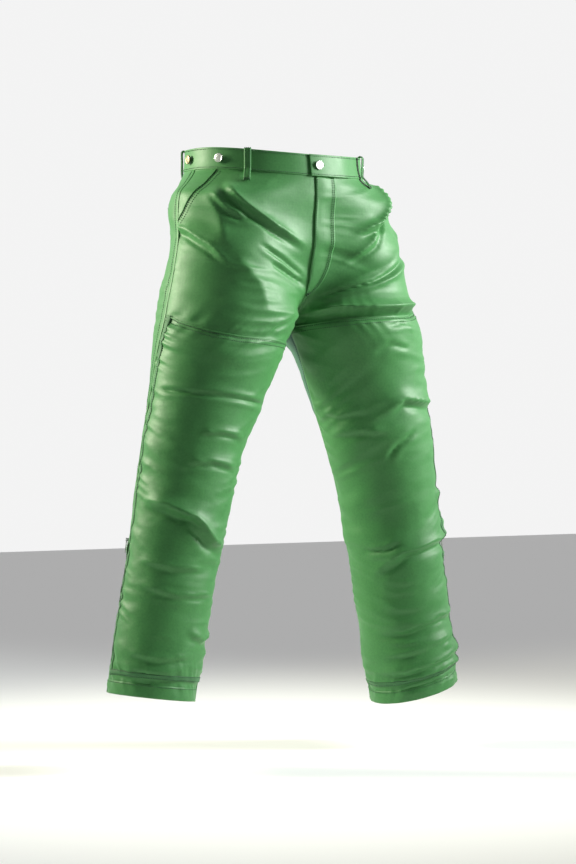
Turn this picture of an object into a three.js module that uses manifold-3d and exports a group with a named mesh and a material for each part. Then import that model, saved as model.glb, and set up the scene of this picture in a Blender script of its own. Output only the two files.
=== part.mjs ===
// Chainsaw trousers, worn shape with the legs apart: waistband with brace buttons and belt loops, zipped
// fly, slash pockets, padded guards on the fronts of the legs, and a zip up the outside of each calf.
// Millimetres. X runs to the wearer's left, -Y is the front, +Z is up. The origin is the middle of the
// waist opening, halfway up the waistband.
import * as THREE from "three";
import { mergeVertices } from "three/addons/utils/BufferGeometryUtils.js";
import Module from "manifold-3d";

const wasm = await Module();
wasm.setup();

// ---------------------------------------------------------------- driving dimensions

// The body of the trousers by level: [level, half width, middle in y, depth in front, depth behind, and the
// share of the depth that is missing at the middle of the front].
const TORSO = [
  [30, 172, 2, 136, 138, 0],
  [-20, 178, -2, 140, 142, 0],
  [-42, 198, -14, 144, 146, 0.1],
  [-66, 222, -22, 150, 148, 0.19],
  [-108, 228, -24, 154, 150, 0.25],
  [-150, 234, -34, 158, 150, 0.34],
  [-200, 246, -44, 160, 148, 0.45],
  [-282, 254, -46, 162, 142, 0.4],
];
// Each leg by level: [level, axis out from the middle, axis y, half width, half depth, slope of a row].
const LEG = [
  [-150, 118, -34, 118, 118, 0],
  [-282, 133, -45, 133, 126, 0],
  [-346, 157, -45, 121, 116, 0.06],
  [-433, 184, -46, 106, 100, 0.12],
  [-520, 211, -47, 96, 92, 0.17],
  [-608, 230, -44, 90, 87, 0.19],
  [-695, 246, -42, 86, 85, 0.19],
  [-783, 262, -40, 84, 83, 0.19],
  [-870, 277, -39, 84, 83, 0.19],
  [-972, 294, -39, 84, 83, 0.19],
];
// The wearer leans on the left leg: further out, further down, and cut more steeply than the right. Both
// legs are turned, in degrees, so that their knees face a little to the wearer's right.
const STANCE = {
  right: { out: 0, girth: 0.94, drop: 0, slope: -0.06, turn: 28 },
  left: { out: 8, girth: 1, drop: 22, slope: 0.08, turn: -28 },
};
const [STANCE_FROM, STANCE_TO] = [-282, -560];
const HOLLOW_FROM = 0.35;
const FORK_TOP = -150; // the body starts to part into legs
const CROTCH = -282;
const KNEE = -571;
const HEM = -972;
const KNEE_SLACK = 2.4;
const KNEE_WEDGE = Math.tan(THREE.MathUtils.degToRad(32)); // each side of the fold behind the knee

const BAND_TOP = 20;
const BAND_BOTTOM = -20;
const FRONT_DIP = 13; // the waist is lower at the front and higher at the back
const BACK_RISE = 12;
const DIP_ENDS = -130;

const CLOTH = 1.2;
const PADDING = 5;
const GAP = 0.3; // between neighbouring pieces that touch
const LAYER_GAP = 1.4; // between curved layers, so that their facets stay apart
const SEAM = 0.001; // share of a half row left free at each seam
const GUARD_LIFT = LAYER_GAP;
const COVER_LIFT = GUARD_LIFT + PADDING + LAYER_GAP;
const COLUMNS = 10; // facets from one seam of a panel to the other

// Top edge of each guard: level at the outer seam, at the front of the thigh and at the inseam.
const GUARD_TOP = { right: [-289, -331, -335], left: [-256, -286, -302] };
const GUARD_OUTER_EDGE = 0.1; // share of the row in front of the outer seam
const GUARD_BOTTOM = -938;
const HEM_BAND = 24;

const FLY = { edge: -6, zip: 16, stitch: 40, slot: 7, top: -36, bottom: -232, lift: 3.6, depth: 7.6 };
const TAB_END = -17; // the left end of the waistband passes the middle by this much
const UNDER_END = 26; // and the right end lies under it this far
const BUTTON = { radius: 8.5, cap: 3, rim: 0.8, slope: 1.2, shank: 3, shankRadius: 3, flat: 6 };
const TACK = { radius: 6, head: 1.2, post: 1.6 };
const BUTTONHOLE = { width: 20, height: 4.4, depth: 10.2 };
const BRACE_BUTTONS = [25, -6, -68]; // degrees from the side towards the front, on each half
const BELT_LOOPS = [45, -40]; // the same, and one more at the middle of the back
const LOOP = { width: 13, gap: 6, cloth: 1.6, foot: 7, above: 2, below: 18, seat: 2.8 };
const LEG_ZIP = { top: -690, bottom: -945, slot: 7, depth: 5, opening: 50 };
const CHAIN = { bead: 1.5, height: 2.4, tape: 11, cloth: 0.8, groove: 0.9 };
const SLIDER = { width: 11, length: 13, plate: 1.1, web: 0.3, lug: 2.4, eye: 1.3 };
const PULL = { width: 6, length: 24, cloth: 1.4 };
const SHIELD_DEPTH = 5.4;

const PAINT = {
  shell: ["#3f8a45", 0.5, 0],
  backCloth: ["#3b7a55", 0.7, 0],
  padding: ["#e8e4d2", 0.9, 0],
  lining: ["#2f5a3a", 0.8, 0],
  metal: ["#c9cfc6", 0.3, 1],
  brass: ["#8f8458", 0.35, 1],
  zipTape: ["#12251b", 0.8, 0],
  zipTeeth: ["#27352d", 0.5, 0],
};

// ---------------------------------------------------------------- the surface of the trousers

// A value from a table by level, on a smooth curve through its rows.
function along(table, level, column) {
  const last = table.length - 1;
  let i = table.findIndex((row) => row[0] < level) - 1;
  if (i === -2) i = last - 1;
  i = THREE.MathUtils.clamp(i, 0, last - 1);
  const [before, from, to, after] = [i - 1, i, i + 1, i + 2].map(
    (k) => table[THREE.MathUtils.clamp(k, 0, last)],
  );
  const span = to[0] - from[0];
  const s = THREE.MathUtils.clamp((level - from[0]) / span, 0, 1);
  const slopeIn = ((to[column] - before[column]) / (to[0] - before[0])) * span;
  const slopeOut = ((after[column] - from[column]) / (after[0] - from[0])) * span;
  const s2 = s * s;
  const s3 = s2 * s;
  return (
    (2 * s3 - 3 * s2 + 1) * from[column] +
    (s3 - 2 * s2 + s) * slopeIn +
    (3 * s2 - 2 * s3) * to[column] +
    (s3 - s2) * slopeOut
  );
}

// A point on the right half of the body: share 0 is the side and 1 is the middle, of the front or the back.
function torsoPoint(share, level, lift, front) {
  const angle = (share * Math.PI) / 2;
  const middle = THREE.MathUtils.smoothstep(share, HOLLOW_FROM, 1);
  const hollow = front ? 1 - along(TORSO, level, 5) * middle : 1;
  const depth = along(TORSO, level, front ? 3 : 4) * hollow + lift;
  const fade = THREE.MathUtils.smoothstep(level, DIP_ENDS, BAND_BOTTOM);
  const rise = front ? -FRONT_DIP : BACK_RISE;
  return new THREE.Vector3(
    -(along(TORSO, level, 1) + lift) * Math.cos(angle),
    along(TORSO, level, 2) + (front ? -1 : 1) * depth * Math.sin(angle),
    level + rise * fade * Math.sin(angle) ** 2,
  );
}

// The row of a leg at a level, with the stance of the side that is being made.
let stance = STANCE.right;
function legRow(level) {
  const settled = THREE.MathUtils.smoothstep(-level, -STANCE_FROM, -STANCE_TO);
  const girth = THREE.MathUtils.lerp(1, stance.girth, settled);
  return {
    axis: along(LEG, level, 1) + stance.out * settled,
    y: along(LEG, level, 2),
    half: along(LEG, level, 3) * girth,
    depth: along(LEG, level, 4) * girth,
    slope: along(LEG, level, 5) + stance.slope * settled,
    height: level - stance.drop * settled,
    turn: THREE.MathUtils.degToRad(stance.turn) * settled,
  };
}

// A point on the leg: share 0 is the outer seam and 1 is the inseam, over the front or the back.
function legPoint(share, level, lift, front) {
  const row = legRow(level);
  const angle = share * Math.PI + (front ? -row.turn : row.turn);
  const out = (row.half + lift) * Math.cos(angle);
  const depth = (row.depth + lift) * Math.sin(angle);
  return new THREE.Vector3(-(row.axis + out), row.y + (front ? -depth : depth), row.height + out * row.slope);
}

// A point on the right half of the trousers. Past the middle of the body it is the mirror image.
function surface(share, level, lift, front) {
  if (share > 1 && level > CROTCH) {
    const mirrored = surface(2 - share, level, lift, front);
    mirrored.x *= -1;
    return mirrored;
  }
  const leg = legPoint(share, level, lift, front);
  if (level <= CROTCH) {
    leg.x = Math.min(leg.x, -GAP / 2);
    return leg;
  }
  const parted = THREE.MathUtils.clamp((FORK_TOP - level) / (FORK_TOP - CROTCH), 0, 1);
  const atSide = 1 - THREE.MathUtils.smoothstep(parted, 0, 1);
  const whole = THREE.MathUtils.lerp(atSide, Math.sqrt(1 - parted * parted), share * share);
  const point = leg.lerp(torsoPoint(share, level, lift, front), whole);
  point.x = Math.min(point.x, -GAP / 2);
  return point;
}

// The share of a row that ends that many millimetres short of the middle of the front.
const frontShare = (level, distance) => 1 - distance / ((along(TORSO, level, 1) * Math.PI) / 2);

// A point near the middle of the front, by its distance to the wearer's left of the middle.
const frontPoint = (distance, level, lift) => surface(frontShare(level, -distance), level, lift, true);

// ---------------------------------------------------------------- solids

function geometryOf(points, triangles) {
  const geometry = new THREE.BufferGeometry();
  const position = points.flatMap((p) => [p.x, p.y, p.z]);
  geometry.setAttribute("position", new THREE.Float32BufferAttribute(position, 3));
  geometry.setIndex(triangles);
  return geometry;
}

function signedVolume(points, triangles) {
  let volume = 0;
  for (let i = 0; i < triangles.length; i += 3) {
    const [a, b, c] = [0, 1, 2].map((k) => points[triangles[i + k]]);
    volume += a.dot(new THREE.Vector3().crossVectors(b, c)) / 6;
  }
  return volume;
}

// A closed sheet of cloth. place(across, down, side) gives a point, with side 0 on the outer face and 1 on
// the inner face.
function sheet(place, columns, rows) {
  const points = [];
  for (const side of [0, 1])
    for (let j = 0; j <= rows; j++)
      for (let i = 0; i <= columns; i++) points.push(place(i / columns, j / rows, side));
  const at = (i, j, side) => (side * (rows + 1) + j) * (columns + 1) + i;
  const triangles = [];
  const quad = (a, b, c, d) => triangles.push(a, b, c, a, c, d);
  for (let j = 0; j < rows; j++)
    for (let i = 0; i < columns; i++) {
      quad(at(i, j, 0), at(i, j + 1, 0), at(i + 1, j + 1, 0), at(i + 1, j, 0));
      quad(at(i, j, 1), at(i + 1, j, 1), at(i + 1, j + 1, 1), at(i, j + 1, 1));
    }
  for (let i = 0; i < columns; i++) {
    quad(at(i, 0, 0), at(i + 1, 0, 0), at(i + 1, 0, 1), at(i, 0, 1));
    quad(at(i, rows, 0), at(i, rows, 1), at(i + 1, rows, 1), at(i + 1, rows, 0));
  }
  for (let j = 0; j < rows; j++) {
    quad(at(0, j, 0), at(0, j, 1), at(0, j + 1, 1), at(0, j + 1, 0));
    quad(at(columns, j, 0), at(columns, j + 1, 0), at(columns, j + 1, 1), at(columns, j, 1));
  }
  if (signedVolume(points, triangles) < 0) triangles.reverse();
  return geometryOf(points, triangles);
}

// The same sheet for the other half of the body.
function mirrored(geometry) {
  const copy = geometry.clone().scale(-1, 1, 1);
  copy.setIndex([...copy.index.array].reverse());
  return copy;
}

function solidOf(geometry) {
  const bare = geometry.clone();
  bare.deleteAttribute("normal");
  bare.deleteAttribute("uv");
  const merged = mergeVertices(bare, 1e-3);
  return new wasm.Manifold(
    new wasm.Mesh({
      numProp: 3,
      vertProperties: merged.attributes.position.array,
      triVerts: new Uint32Array(merged.index.array),
    }),
  );
}

function geometryOfSolid(solid) {
  const mesh = solid.getMesh();
  const geometry = new THREE.BufferGeometry();
  geometry.setAttribute("position", new THREE.BufferAttribute(mesh.vertProperties, 3));
  geometry.setIndex(new THREE.BufferAttribute(mesh.triVerts, 1));
  return geometry;
}

const joined = (...parts) => geometryOfSolid(parts.map(solidOf).reduce((a, b) => a.add(b)));
const cut = (part, tool) => geometryOfSolid(solidOf(part).subtract(solidOf(tool)));
const box = (x0, x1, y0, y1, z0, z1) =>
  new THREE.BoxGeometry(x1 - x0, y1 - y0, z1 - z0).translate((x0 + x1) / 2, (y0 + y1) / 2, (z0 + z1) / 2);

// A disc, cap or post turned about local -Y, from [distance out, radius] pairs.
function turned(profile, sides) {
  const points = profile.map(([out, radius]) => new THREE.Vector2(radius, out));
  return new THREE.LatheGeometry(points, sides).rotateX(Math.PI);
}

const trousers = new THREE.Group();

function add(name, geometry, paint, place) {
  const [color, roughness, metalness] = PAINT[paint];
  const mesh = new THREE.Mesh(geometry, new THREE.MeshStandardMaterial({ color, roughness, metalness }));
  mesh.name = name;
  if (place) mesh.applyMatrix4(place);
  trousers.add(mesh);
  return mesh;
}

const flip = (side) => (side === "left" ? mirrored : (geometry) => geometry);

// A matrix that puts local Z along one direction and local -Y as near as it can to another.
function facing(origin, outward, upward) {
  const up = upward.clone().normalize();
  const right = new THREE.Vector3().crossVectors(up, outward).normalize();
  const back = new THREE.Vector3().crossVectors(up, right);
  return new THREE.Matrix4().makeBasis(right, back, up).setPosition(origin);
}

// ---------------------------------------------------------------- shell panels

const clothSheet = (rows, spans, lift, thick, front, columns = COLUMNS) =>
  sheet(
    (across, down, side) => {
      const [from, to, top, bottom] = spans(across, down);
      const share = THREE.MathUtils.lerp(from, to, across);
      const level = THREE.MathUtils.lerp(top, bottom, down);
      return surface(share, level, lift + (side === 0 ? thick : 0), front);
    },
    columns,
    rows,
  );

// The level at which a row's point lies at the height of the knee's axis.
function kneeLevel(share, front) {
  const row = legRow(KNEE);
  const angle = share * Math.PI + (front ? -row.turn : row.turn);
  return KNEE + (KNEE - row.height) - row.half * Math.cos(angle) * row.slope;
}

// Half the gap between the pieces above and below the knee, wider at the seams, which lie near its axis.
const kneeGap = (share) => GAP + KNEE_SLACK * Math.cos(share * Math.PI) ** 2;

// The level where a back panel above (sign 1) or below (sign -1) the fold behind the knee ends.
const kneeEdge = (share, sign) =>
  kneeLevel(share, false) + sign * (GAP + kneeGap(share) + legRow(KNEE).depth * Math.sin(share * Math.PI) * KNEE_WEDGE);

// How far a front panel ends from the middle of the front, at a level: the fly's zip lies in between.
function flyCut(side, level) {
  const inFly = THREE.MathUtils.smoothstep(level, FLY.bottom - 12, FLY.bottom + 6);
  const reach = side === "right" ? -(FLY.zip - FLY.slot) : FLY.zip + FLY.slot;
  return GAP / 2 + reach * inFly;
}

const UPPER_ROWS = 14;
const SHIN_ROWS = 9;

function upperFront(side) {
  const top = BAND_BOTTOM - GAP;
  return clothSheet(
    UPPER_ROWS,
    (across, down) => {
      const bottom = kneeLevel(across, true) + kneeGap(across);
      const level = THREE.MathUtils.lerp(top, bottom, down);
      const end = level > CROTCH ? Math.min(frontShare(level, flyCut(side, level)), 2) : 1 - SEAM;
      return [SEAM, end, top, bottom];
    },
    -CLOTH,
    CLOTH,
    true,
  );
}

function upperBack() {
  const top = BAND_BOTTOM - GAP;
  return clothSheet(
    UPPER_ROWS,
    (across) => [SEAM, 1 - SEAM, top, kneeEdge(THREE.MathUtils.lerp(SEAM, 1 - SEAM, across), 1)],
    -CLOTH,
    CLOTH,
    false,
  );
}

// The share of a row from the outer seam to the edge of the zip's slot.
function zipEdge(level) {
  const open = THREE.MathUtils.smoothstep(-level, -LEG_ZIP.top - LEG_ZIP.opening, -LEG_ZIP.top);
  return SEAM + (open * LEG_ZIP.slot) / (legRow(level).depth * Math.PI);
}

function shinFront() {
  const bottom = HEM + HEM_BAND + GAP;
  return clothSheet(
    SHIN_ROWS,
    (across, down) => {
      const top = kneeLevel(across, true) - kneeGap(across);
      return [zipEdge(THREE.MathUtils.lerp(top, bottom, down)), 1 - SEAM, top, bottom];
    },
    -CLOTH,
    CLOTH,
    true,
  );
}

function shinBack() {
  const bottom = HEM + HEM_BAND + GAP;
  return clothSheet(
    SHIN_ROWS,
    (across, down) => {
      const top = kneeEdge(THREE.MathUtils.lerp(SEAM, 1 - SEAM, across), -1);
      return [zipEdge(THREE.MathUtils.lerp(top, bottom, down)), 1 - SEAM, top, bottom];
    },
    -CLOTH,
    CLOTH,
    false,
  );
}

// The slack of the back panel behind the knee, which crumples when the knee bends.
function kneeFold() {
  const [from, to] = [1 / COLUMNS, 1 - 1 / COLUMNS];
  const spans = (across) => {
    const share = THREE.MathUtils.lerp(from, to, across);
    return [from, to, kneeEdge(share, 1) - 2 * GAP, kneeEdge(share, -1) + 2 * GAP];
  };
  return clothSheet(4, spans, -CLOTH, CLOTH, false, COLUMNS - 2);
}

// A doubled, stitched band round the hem, open at the zip.
function hemBand() {
  return sheet(
    (across, down, side) => {
      const turn = THREE.MathUtils.lerp(-1, 1, across);
      const level = THREE.MathUtils.lerp(HEM + HEM_BAND, HEM, down);
      const share = THREE.MathUtils.lerp(zipEdge(level), 1, 1 - Math.abs(turn));
      return surface(share, level, side === 0 ? 0.4 : -CLOTH - 0.8, turn < 0);
    },
    2 * COLUMNS,
    1,
  );
}

// The level of a guard's top edge, by share of the row.
function guardTop(side, share) {
  const [outer, front, inner] = GUARD_TOP[side];
  return share < 0.5
    ? THREE.MathUtils.lerp(outer, front, Math.sin(share * Math.PI))
    : THREE.MathUtils.lerp(front, inner, share * 2 - 1);
}

const guardSpan = (top, bottom) => (across) => {
  const share = THREE.MathUtils.lerp(GUARD_OUTER_EDGE, 1 - SEAM, across);
  return [GUARD_OUTER_EDGE, 1 - SEAM, top(share), bottom(share)];
};
const GUARD_COLUMNS = COLUMNS - 1;
const guardThigh = (side, lift, thick) => {
  const bottom = (share) => kneeLevel(share, true) + kneeGap(share);
  const spans = guardSpan((share) => guardTop(side, share), bottom);
  return clothSheet(7, spans, lift, thick, true, GUARD_COLUMNS);
};
const guardShin = (lift, thick) => {
  const top = (share) => kneeLevel(share, true) - kneeGap(share);
  const spans = guardSpan(top, () => GUARD_BOTTOM);
  return clothSheet(SHIN_ROWS - 1, spans, lift, thick, true, GUARD_COLUMNS);
};

for (const side of ["right", "left"]) {
  const own = flip(side);
  stance = STANCE[side];
  add(`${side}_front_panel`, own(upperFront(side)), "shell");
  add(`${side}_back_panel`, own(upperBack()), "backCloth");
  add(`${side}_front_panel_below_knee`, own(shinFront()), "shell");
  add(`${side}_back_panel_below_knee`, own(shinBack()), "backCloth");
  add(`${side}_knee_fold`, own(kneeFold()), "backCloth");
  add(`${side}_hem_band`, own(hemBand()), "shell");
  add(`${side}_guard_padding_thigh`, own(guardThigh(side, GUARD_LIFT, PADDING)), "padding");
  add(`${side}_guard_padding_shin`, own(guardShin(GUARD_LIFT, PADDING)), "padding");
  add(`${side}_guard_cover_thigh`, own(guardThigh(side, COVER_LIFT, CLOTH)), "shell");
  add(`${side}_guard_cover_shin`, own(guardShin(COVER_LIFT, CLOTH)), "shell");
}

// ---------------------------------------------------------------- pockets

// The slash pocket's mouth runs from the waistband down to the side seam. Its facing backs the mouth, and
// the bag hangs flat inside the front.
const POCKET = {
  mouthTop: 0.34,
  mouthBottom: -165,
  bagBottom: -255,
  bagEnd: 0.62,
  facingDepth: 4,
  depth: 9,
};

const pocketFacing = () =>
  sheet(
    (across, down, side) => {
      const level = THREE.MathUtils.lerp(BAND_BOTTOM - 4, POCKET.mouthBottom, down);
      const width = THREE.MathUtils.lerp(POCKET.mouthTop, 0.1, down);
      const share = THREE.MathUtils.lerp(0.03, width, across);
      return surface(share, level, -POCKET.facingDepth - (side === 0 ? 0 : CLOTH), true);
    },
    4,
    4,
  );

const pocketBag = () =>
  sheet(
    (across, down, side) => {
      const level = THREE.MathUtils.lerp(BAND_BOTTOM - 6, POCKET.bagBottom, down);
      const end = THREE.MathUtils.lerp(POCKET.mouthTop, POCKET.bagEnd, down);
      const share = THREE.MathUtils.lerp(0.05, end, across);
      return surface(share, level, -POCKET.depth - (side === 0 ? 0 : CLOTH * 2), true);
    },
    6,
    6,
  );

// A patch pocket on the right side of the seat.
const HIP_POCKET = { from: 0.34, to: 0.82, top: -75, bottom: -200, lift: 2.4, cloth: 1.4 };
const hipPocket = sheet(
  (across, down, side) => {
    const point = down > 0.75 ? 1 - 0.5 * (down - 0.75) * Math.abs(2 * across - 1) ** 3 : 1;
    const share = THREE.MathUtils.lerp(HIP_POCKET.from, HIP_POCKET.to, across);
    const level = THREE.MathUtils.lerp(HIP_POCKET.top, HIP_POCKET.bottom, down * point);
    return surface(share, level, HIP_POCKET.lift + (side === 0 ? HIP_POCKET.cloth : 0), false);
  },
  5,
  5,
);

for (const side of ["right", "left"]) {
  add(`${side}_pocket_facing`, flip(side)(pocketFacing()), "shell");
  add(`${side}_pocket_bag`, flip(side)(pocketBag()), "lining");
}
add("hip_pocket", hipPocket, "backCloth");

// ---------------------------------------------------------------- waistband, buttons and belt loops

// The place on the waistband at an angle from the side towards the front, with its outward direction.
// A negative angle lies behind the side.
function bandPlace(side, degrees, lift) {
  const front = degrees >= 0;
  const share = Math.abs(degrees) / 90;
  const origin = surface(share, 0, lift, front);
  const step = 0.002;
  const before = surface(Math.max(share - step, 0), 0, lift, front);
  const along = surface(share + step, 0, lift, front).sub(before);
  const outward = new THREE.Vector3(along.y, -along.x, 0).normalize();
  if (outward.dot(new THREE.Vector3(origin.x, origin.y, 0)) < 0) outward.negate();
  if (side === "left") {
    origin.x *= -1;
    outward.x *= -1;
  }
  return facing(origin, outward, new THREE.Vector3(0, 0, 1));
}

const BAND_LIFT = 1.6; // the waistband stands this far out of the shell
const BAND_THICK = 2.8;
const [LAP_FROM, LAP_TO] = [0.62, 0.8]; // where the left half rises over the end of the right half
const BAND_COLUMNS = 20;

// Half of the waistband, from the middle of the back round the side to its front end.
function waistband(side) {
  const end = side === "right" ? UNDER_END : -TAB_END;
  return sheet(
    (across, down, face) => {
      const level = THREE.MathUtils.lerp(BAND_TOP, BAND_BOTTOM, down);
      const turn = across * 2;
      const front = turn > 1;
      const last = frontShare(level, -end);
      const share = front ? (turn - 1) * last : 1 - SEAM - turn * (1 - 2 * SEAM) + SEAM;
      const past = THREE.MathUtils.smoothstep(share, LAP_FROM, LAP_TO);
      const overlap = side === "left" && front ? past * (BAND_THICK + LAYER_GAP) : 0;
      return surface(share, level, overlap + (face === 0 ? BAND_LIFT : BAND_LIFT - BAND_THICK), front);
    },
    BAND_COLUMNS,
    2,
  );
}

const button = () =>
  turned(
    [
      [0, 0],
      [0, BUTTON.shankRadius],
      [BUTTON.shank, BUTTON.shankRadius],
      [BUTTON.shank, BUTTON.radius - BUTTON.rim],
      [BUTTON.shank + BUTTON.rim, BUTTON.radius],
      [BUTTON.shank + BUTTON.cap - BUTTON.slope, BUTTON.radius],
      [BUTTON.shank + BUTTON.cap, BUTTON.flat],
      [BUTTON.shank + BUTTON.cap, 0],
    ],
    14,
  );

const tack = (reach) =>
  turned(
    [
      [0, 0],
      [0, TACK.radius],
      [TACK.head, TACK.radius],
      [TACK.head, TACK.post],
      [reach, TACK.post],
      [reach, 0],
    ],
    10,
  );

const drill = (reach, radius) =>
  turned(
    [
      [-reach, 0],
      [-reach, radius],
      [reach, radius],
      [reach, 0],
    ],
    12,
  );

// Local -Y is outward, and the button's foot is at the origin. The middle of the front carries the waist
// button on the right half of the band, and it passes through a buttonhole in the left half.
const waistButtonPlace = facing(
  frontPoint(0, 0, BAND_LIFT).setX(0),
  new THREE.Vector3(0, -1, 0),
  new THREE.Vector3(0, 0, 1),
);
const RAISED = BAND_THICK + LAYER_GAP;
const slit = box(
  -BUTTONHOLE.width / 2,
  BUTTONHOLE.width / 2,
  BAND_THICK / 2 - BUTTONHOLE.depth,
  BAND_THICK / 2,
  -BUTTONHOLE.height / 2,
  BUTTONHOLE.height / 2,
);
const buttonhole = joined(slit, drill(BUTTONHOLE.depth, BUTTON.shankRadius + 0.6));
const bands = { right: waistband("right"), left: mirrored(waistband("left")) };
bands.right = cut(bands.right, drill(BAND_THICK + 3, TACK.post + 0.4).applyMatrix4(waistButtonPlace));
bands.left = cut(bands.left, buttonhole.applyMatrix4(waistButtonPlace));
add("right_waistband", bands.right, "shell");
add("left_waistband", bands.left, "shell");

// The waist button stands on a longer shank, to clear the left half of the band.
const capFoot = RAISED + 1.4;
const waistButton = turned(
  [
    [2 * GAP, 0],
    [2 * GAP, BUTTON.shankRadius],
    [capFoot, BUTTON.shankRadius],
    [capFoot, BUTTON.radius - BUTTON.rim],
    [capFoot + BUTTON.rim, BUTTON.radius],
    [capFoot + BUTTON.cap - BUTTON.slope, BUTTON.radius],
    [capFoot + BUTTON.cap, BUTTON.flat],
    [capFoot + BUTTON.cap, 0],
  ],
  14,
);
add("waist_button", waistButton, "metal", waistButtonPlace);
const tackDepth = BAND_THICK + TACK.head + 1.6;
add("waist_button_tack", tack(tackDepth).translate(0, tackDepth, 0), "brass", waistButtonPlace);

for (const side of ["right", "left"])
  BRACE_BUTTONS.forEach((angle, i) => {
    const where = ["front", "side", "back"][i];
    const place = bandPlace(side, angle, BAND_LIFT + GAP + 0.2);
    add(`brace_button_${side}_${where}`, button(), i === 0 ? "metal" : "brass", place);
  });

// A strap sewn down at both ends that stands off the waistband between them. Its foot lies on the body,
// which is further out than the band by flare.
function beltLoop(flare) {
  const top = BAND_TOP + LOOP.above;
  const bottom = BAND_BOTTOM - LOOP.below;
  const out = LOOP.gap + LOOP.cloth;
  const strap = new THREE.Shape();
  strap.moveTo(0, top);
  strap.lineTo(out, top);
  strap.lineTo(out, BAND_BOTTOM);
  strap.lineTo(flare + LOOP.cloth, bottom + LOOP.foot / 2);
  strap.lineTo(flare + LOOP.cloth, bottom);
  strap.lineTo(flare, bottom);
  strap.lineTo(flare, bottom + LOOP.foot / 2);
  strap.lineTo(LOOP.gap, BAND_BOTTOM);
  strap.lineTo(LOOP.gap, top - LOOP.cloth);
  strap.lineTo(0, top - LOOP.cloth);
  strap.closePath();
  const solid = new THREE.ExtrudeGeometry(strap, { depth: LOOP.width, bevelEnabled: false });
  const turn = new THREE.Matrix4().makeBasis(
    new THREE.Vector3(0, -1, 0),
    new THREE.Vector3(0, 0, 1),
    new THREE.Vector3(-1, 0, 0),
  );
  return solid.translate(0, 0, -LOOP.width / 2).applyMatrix4(turn);
}

// How far the body below the waistband stands out from it, at an angle round the waist.
function flareAt(degrees) {
  const place = bandPlace("right", degrees, BAND_LIFT + 1.2);
  const foot = surface(Math.abs(degrees) / 90, BAND_BOTTOM - LOOP.below, LOOP.seat, degrees >= 0);
  return -foot.applyMatrix4(place.invert()).y;
}

for (const side of ["right", "left"])
  BELT_LOOPS.forEach((angle, i) => {
    const name = `belt_loop_${side}_${["front", "back"][i]}`;
    add(name, beltLoop(flareAt(angle)), "shell", bandPlace(side, angle, BAND_LIFT + 1.2));
  });
const middleBack = facing(
  surface(1, 0, BAND_LIFT + 1.2, false).setX(0),
  new THREE.Vector3(0, 1, 0),
  new THREE.Vector3(0, 0, 1),
);
add("belt_loop_middle_back", beltLoop(flareAt(-90)), "shell", middleBack);

// ---------------------------------------------------------------- fly

// The facing is sewn to the left front and covers the zip. Its free edge lies over the right front.
const flyFacing = sheet(
  (across, down, side) => {
    const level = THREE.MathUtils.lerp(BAND_BOTTOM - 1.2, FLY.bottom, down);
    const curl = FLY.stitch * Math.sqrt(Math.max(0, 1 - Math.max(0, (down - 0.7) / 0.3) ** 2));
    const distance = THREE.MathUtils.lerp(FLY.edge, Math.max(curl, FLY.edge + 6), across);
    const drop = THREE.MathUtils.smoothstep(distance, FLY.zip + FLY.slot + 3, FLY.stitch - 4);
    const lift = THREE.MathUtils.lerp(FLY.lift, LAYER_GAP, drop);
    return frontPoint(distance, level, lift + (side === 0 ? CLOTH : 0));
  },
  6,
  9,
);

add("fly_facing", flyFacing, "shell");

// ---------------------------------------------------------------- zips

// Zips are made with the chain along local Z, local -Y outward, and local X across.
// Half a zip: a tape with the bead of teeth along its inner edge.
function stringer(hand, length) {
  const inner = CHAIN.groove / 2;
  const tape = box(inner + CHAIN.bead, inner + CHAIN.tape, -CHAIN.cloth / 2, CHAIN.cloth / 2, 0, length);
  const bead = box(inner, inner + CHAIN.bead + 0.2, -CHAIN.height / 2, CHAIN.height / 2, 0, length);
  const solid = joined(tape, bead);
  return hand > 0 ? solid : mirrored(solid);
}

// Two plates joined by a web that runs in the groove between the beads, and a lug that holds the pull.
const SLIDER_FACE = CHAIN.height / 2 + GAP + SLIDER.plate;
const EYE = 7; // how far up the slider the pull hangs
function slider(lugHeight) {
  const half = SLIDER.width / 2;
  const inside = SLIDER_FACE - SLIDER.plate;
  const front = box(-half, half, -SLIDER_FACE, -inside, 0, SLIDER.length);
  const back = box(-half, half, inside, SLIDER_FACE, 0, SLIDER.length);
  const web = box(-SLIDER.web / 2, SLIDER.web / 2, -inside - 0.1, inside + 0.1, 0, SLIDER.length);
  const thick = SLIDER.lug / 2;
  const block = box(-thick, thick, -SLIDER_FACE - lugHeight - 1.8, -SLIDER_FACE + 0.1, EYE - 3, EYE + 3);
  const hole = new THREE.CylinderGeometry(SLIDER.eye, SLIDER.eye, 6, 10).rotateZ(Math.PI / 2);
  const lug = cut(block, hole.translate(0, -SLIDER_FACE - lugHeight, EYE));
  return joined(front, back, web, lug);
}

// The pull hangs from the lug: a small bar through its hole, and a tab.
function pull(length) {
  const half = PULL.width / 2;
  const thick = PULL.cloth / 2;
  const bar = new THREE.CylinderGeometry(0.9, 0.9, PULL.width, 8).rotateZ(Math.PI / 2);
  const plate = box(-half, half, -thick, thick, -length, 0.6);
  const window = box(-1.7, 1.7, -2, 2, -6, 3);
  return joined(cut(plate, window), bar);
}

function zip(prefix, length, place, [pullLength, lugHeight], handNames) {
  add(`${prefix}_${handNames[0]}_stringer`, stringer(1, length), "zipTape", place);
  add(`${prefix}_${handNames[1]}_stringer`, stringer(-1, length), "zipTape", place);
  const start = new THREE.Matrix4().makeTranslation(0, 0, length - SLIDER.length - 2);
  add(`${prefix}_slider`, slider(lugHeight), "brass", place.clone().multiply(start));
  const pivot = start.multiply(new THREE.Matrix4().makeTranslation(0, -SLIDER_FACE - lugHeight, EYE));
  add(`${prefix}_pull`, pull(pullLength), "brass", place.clone().multiply(pivot));
}

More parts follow.
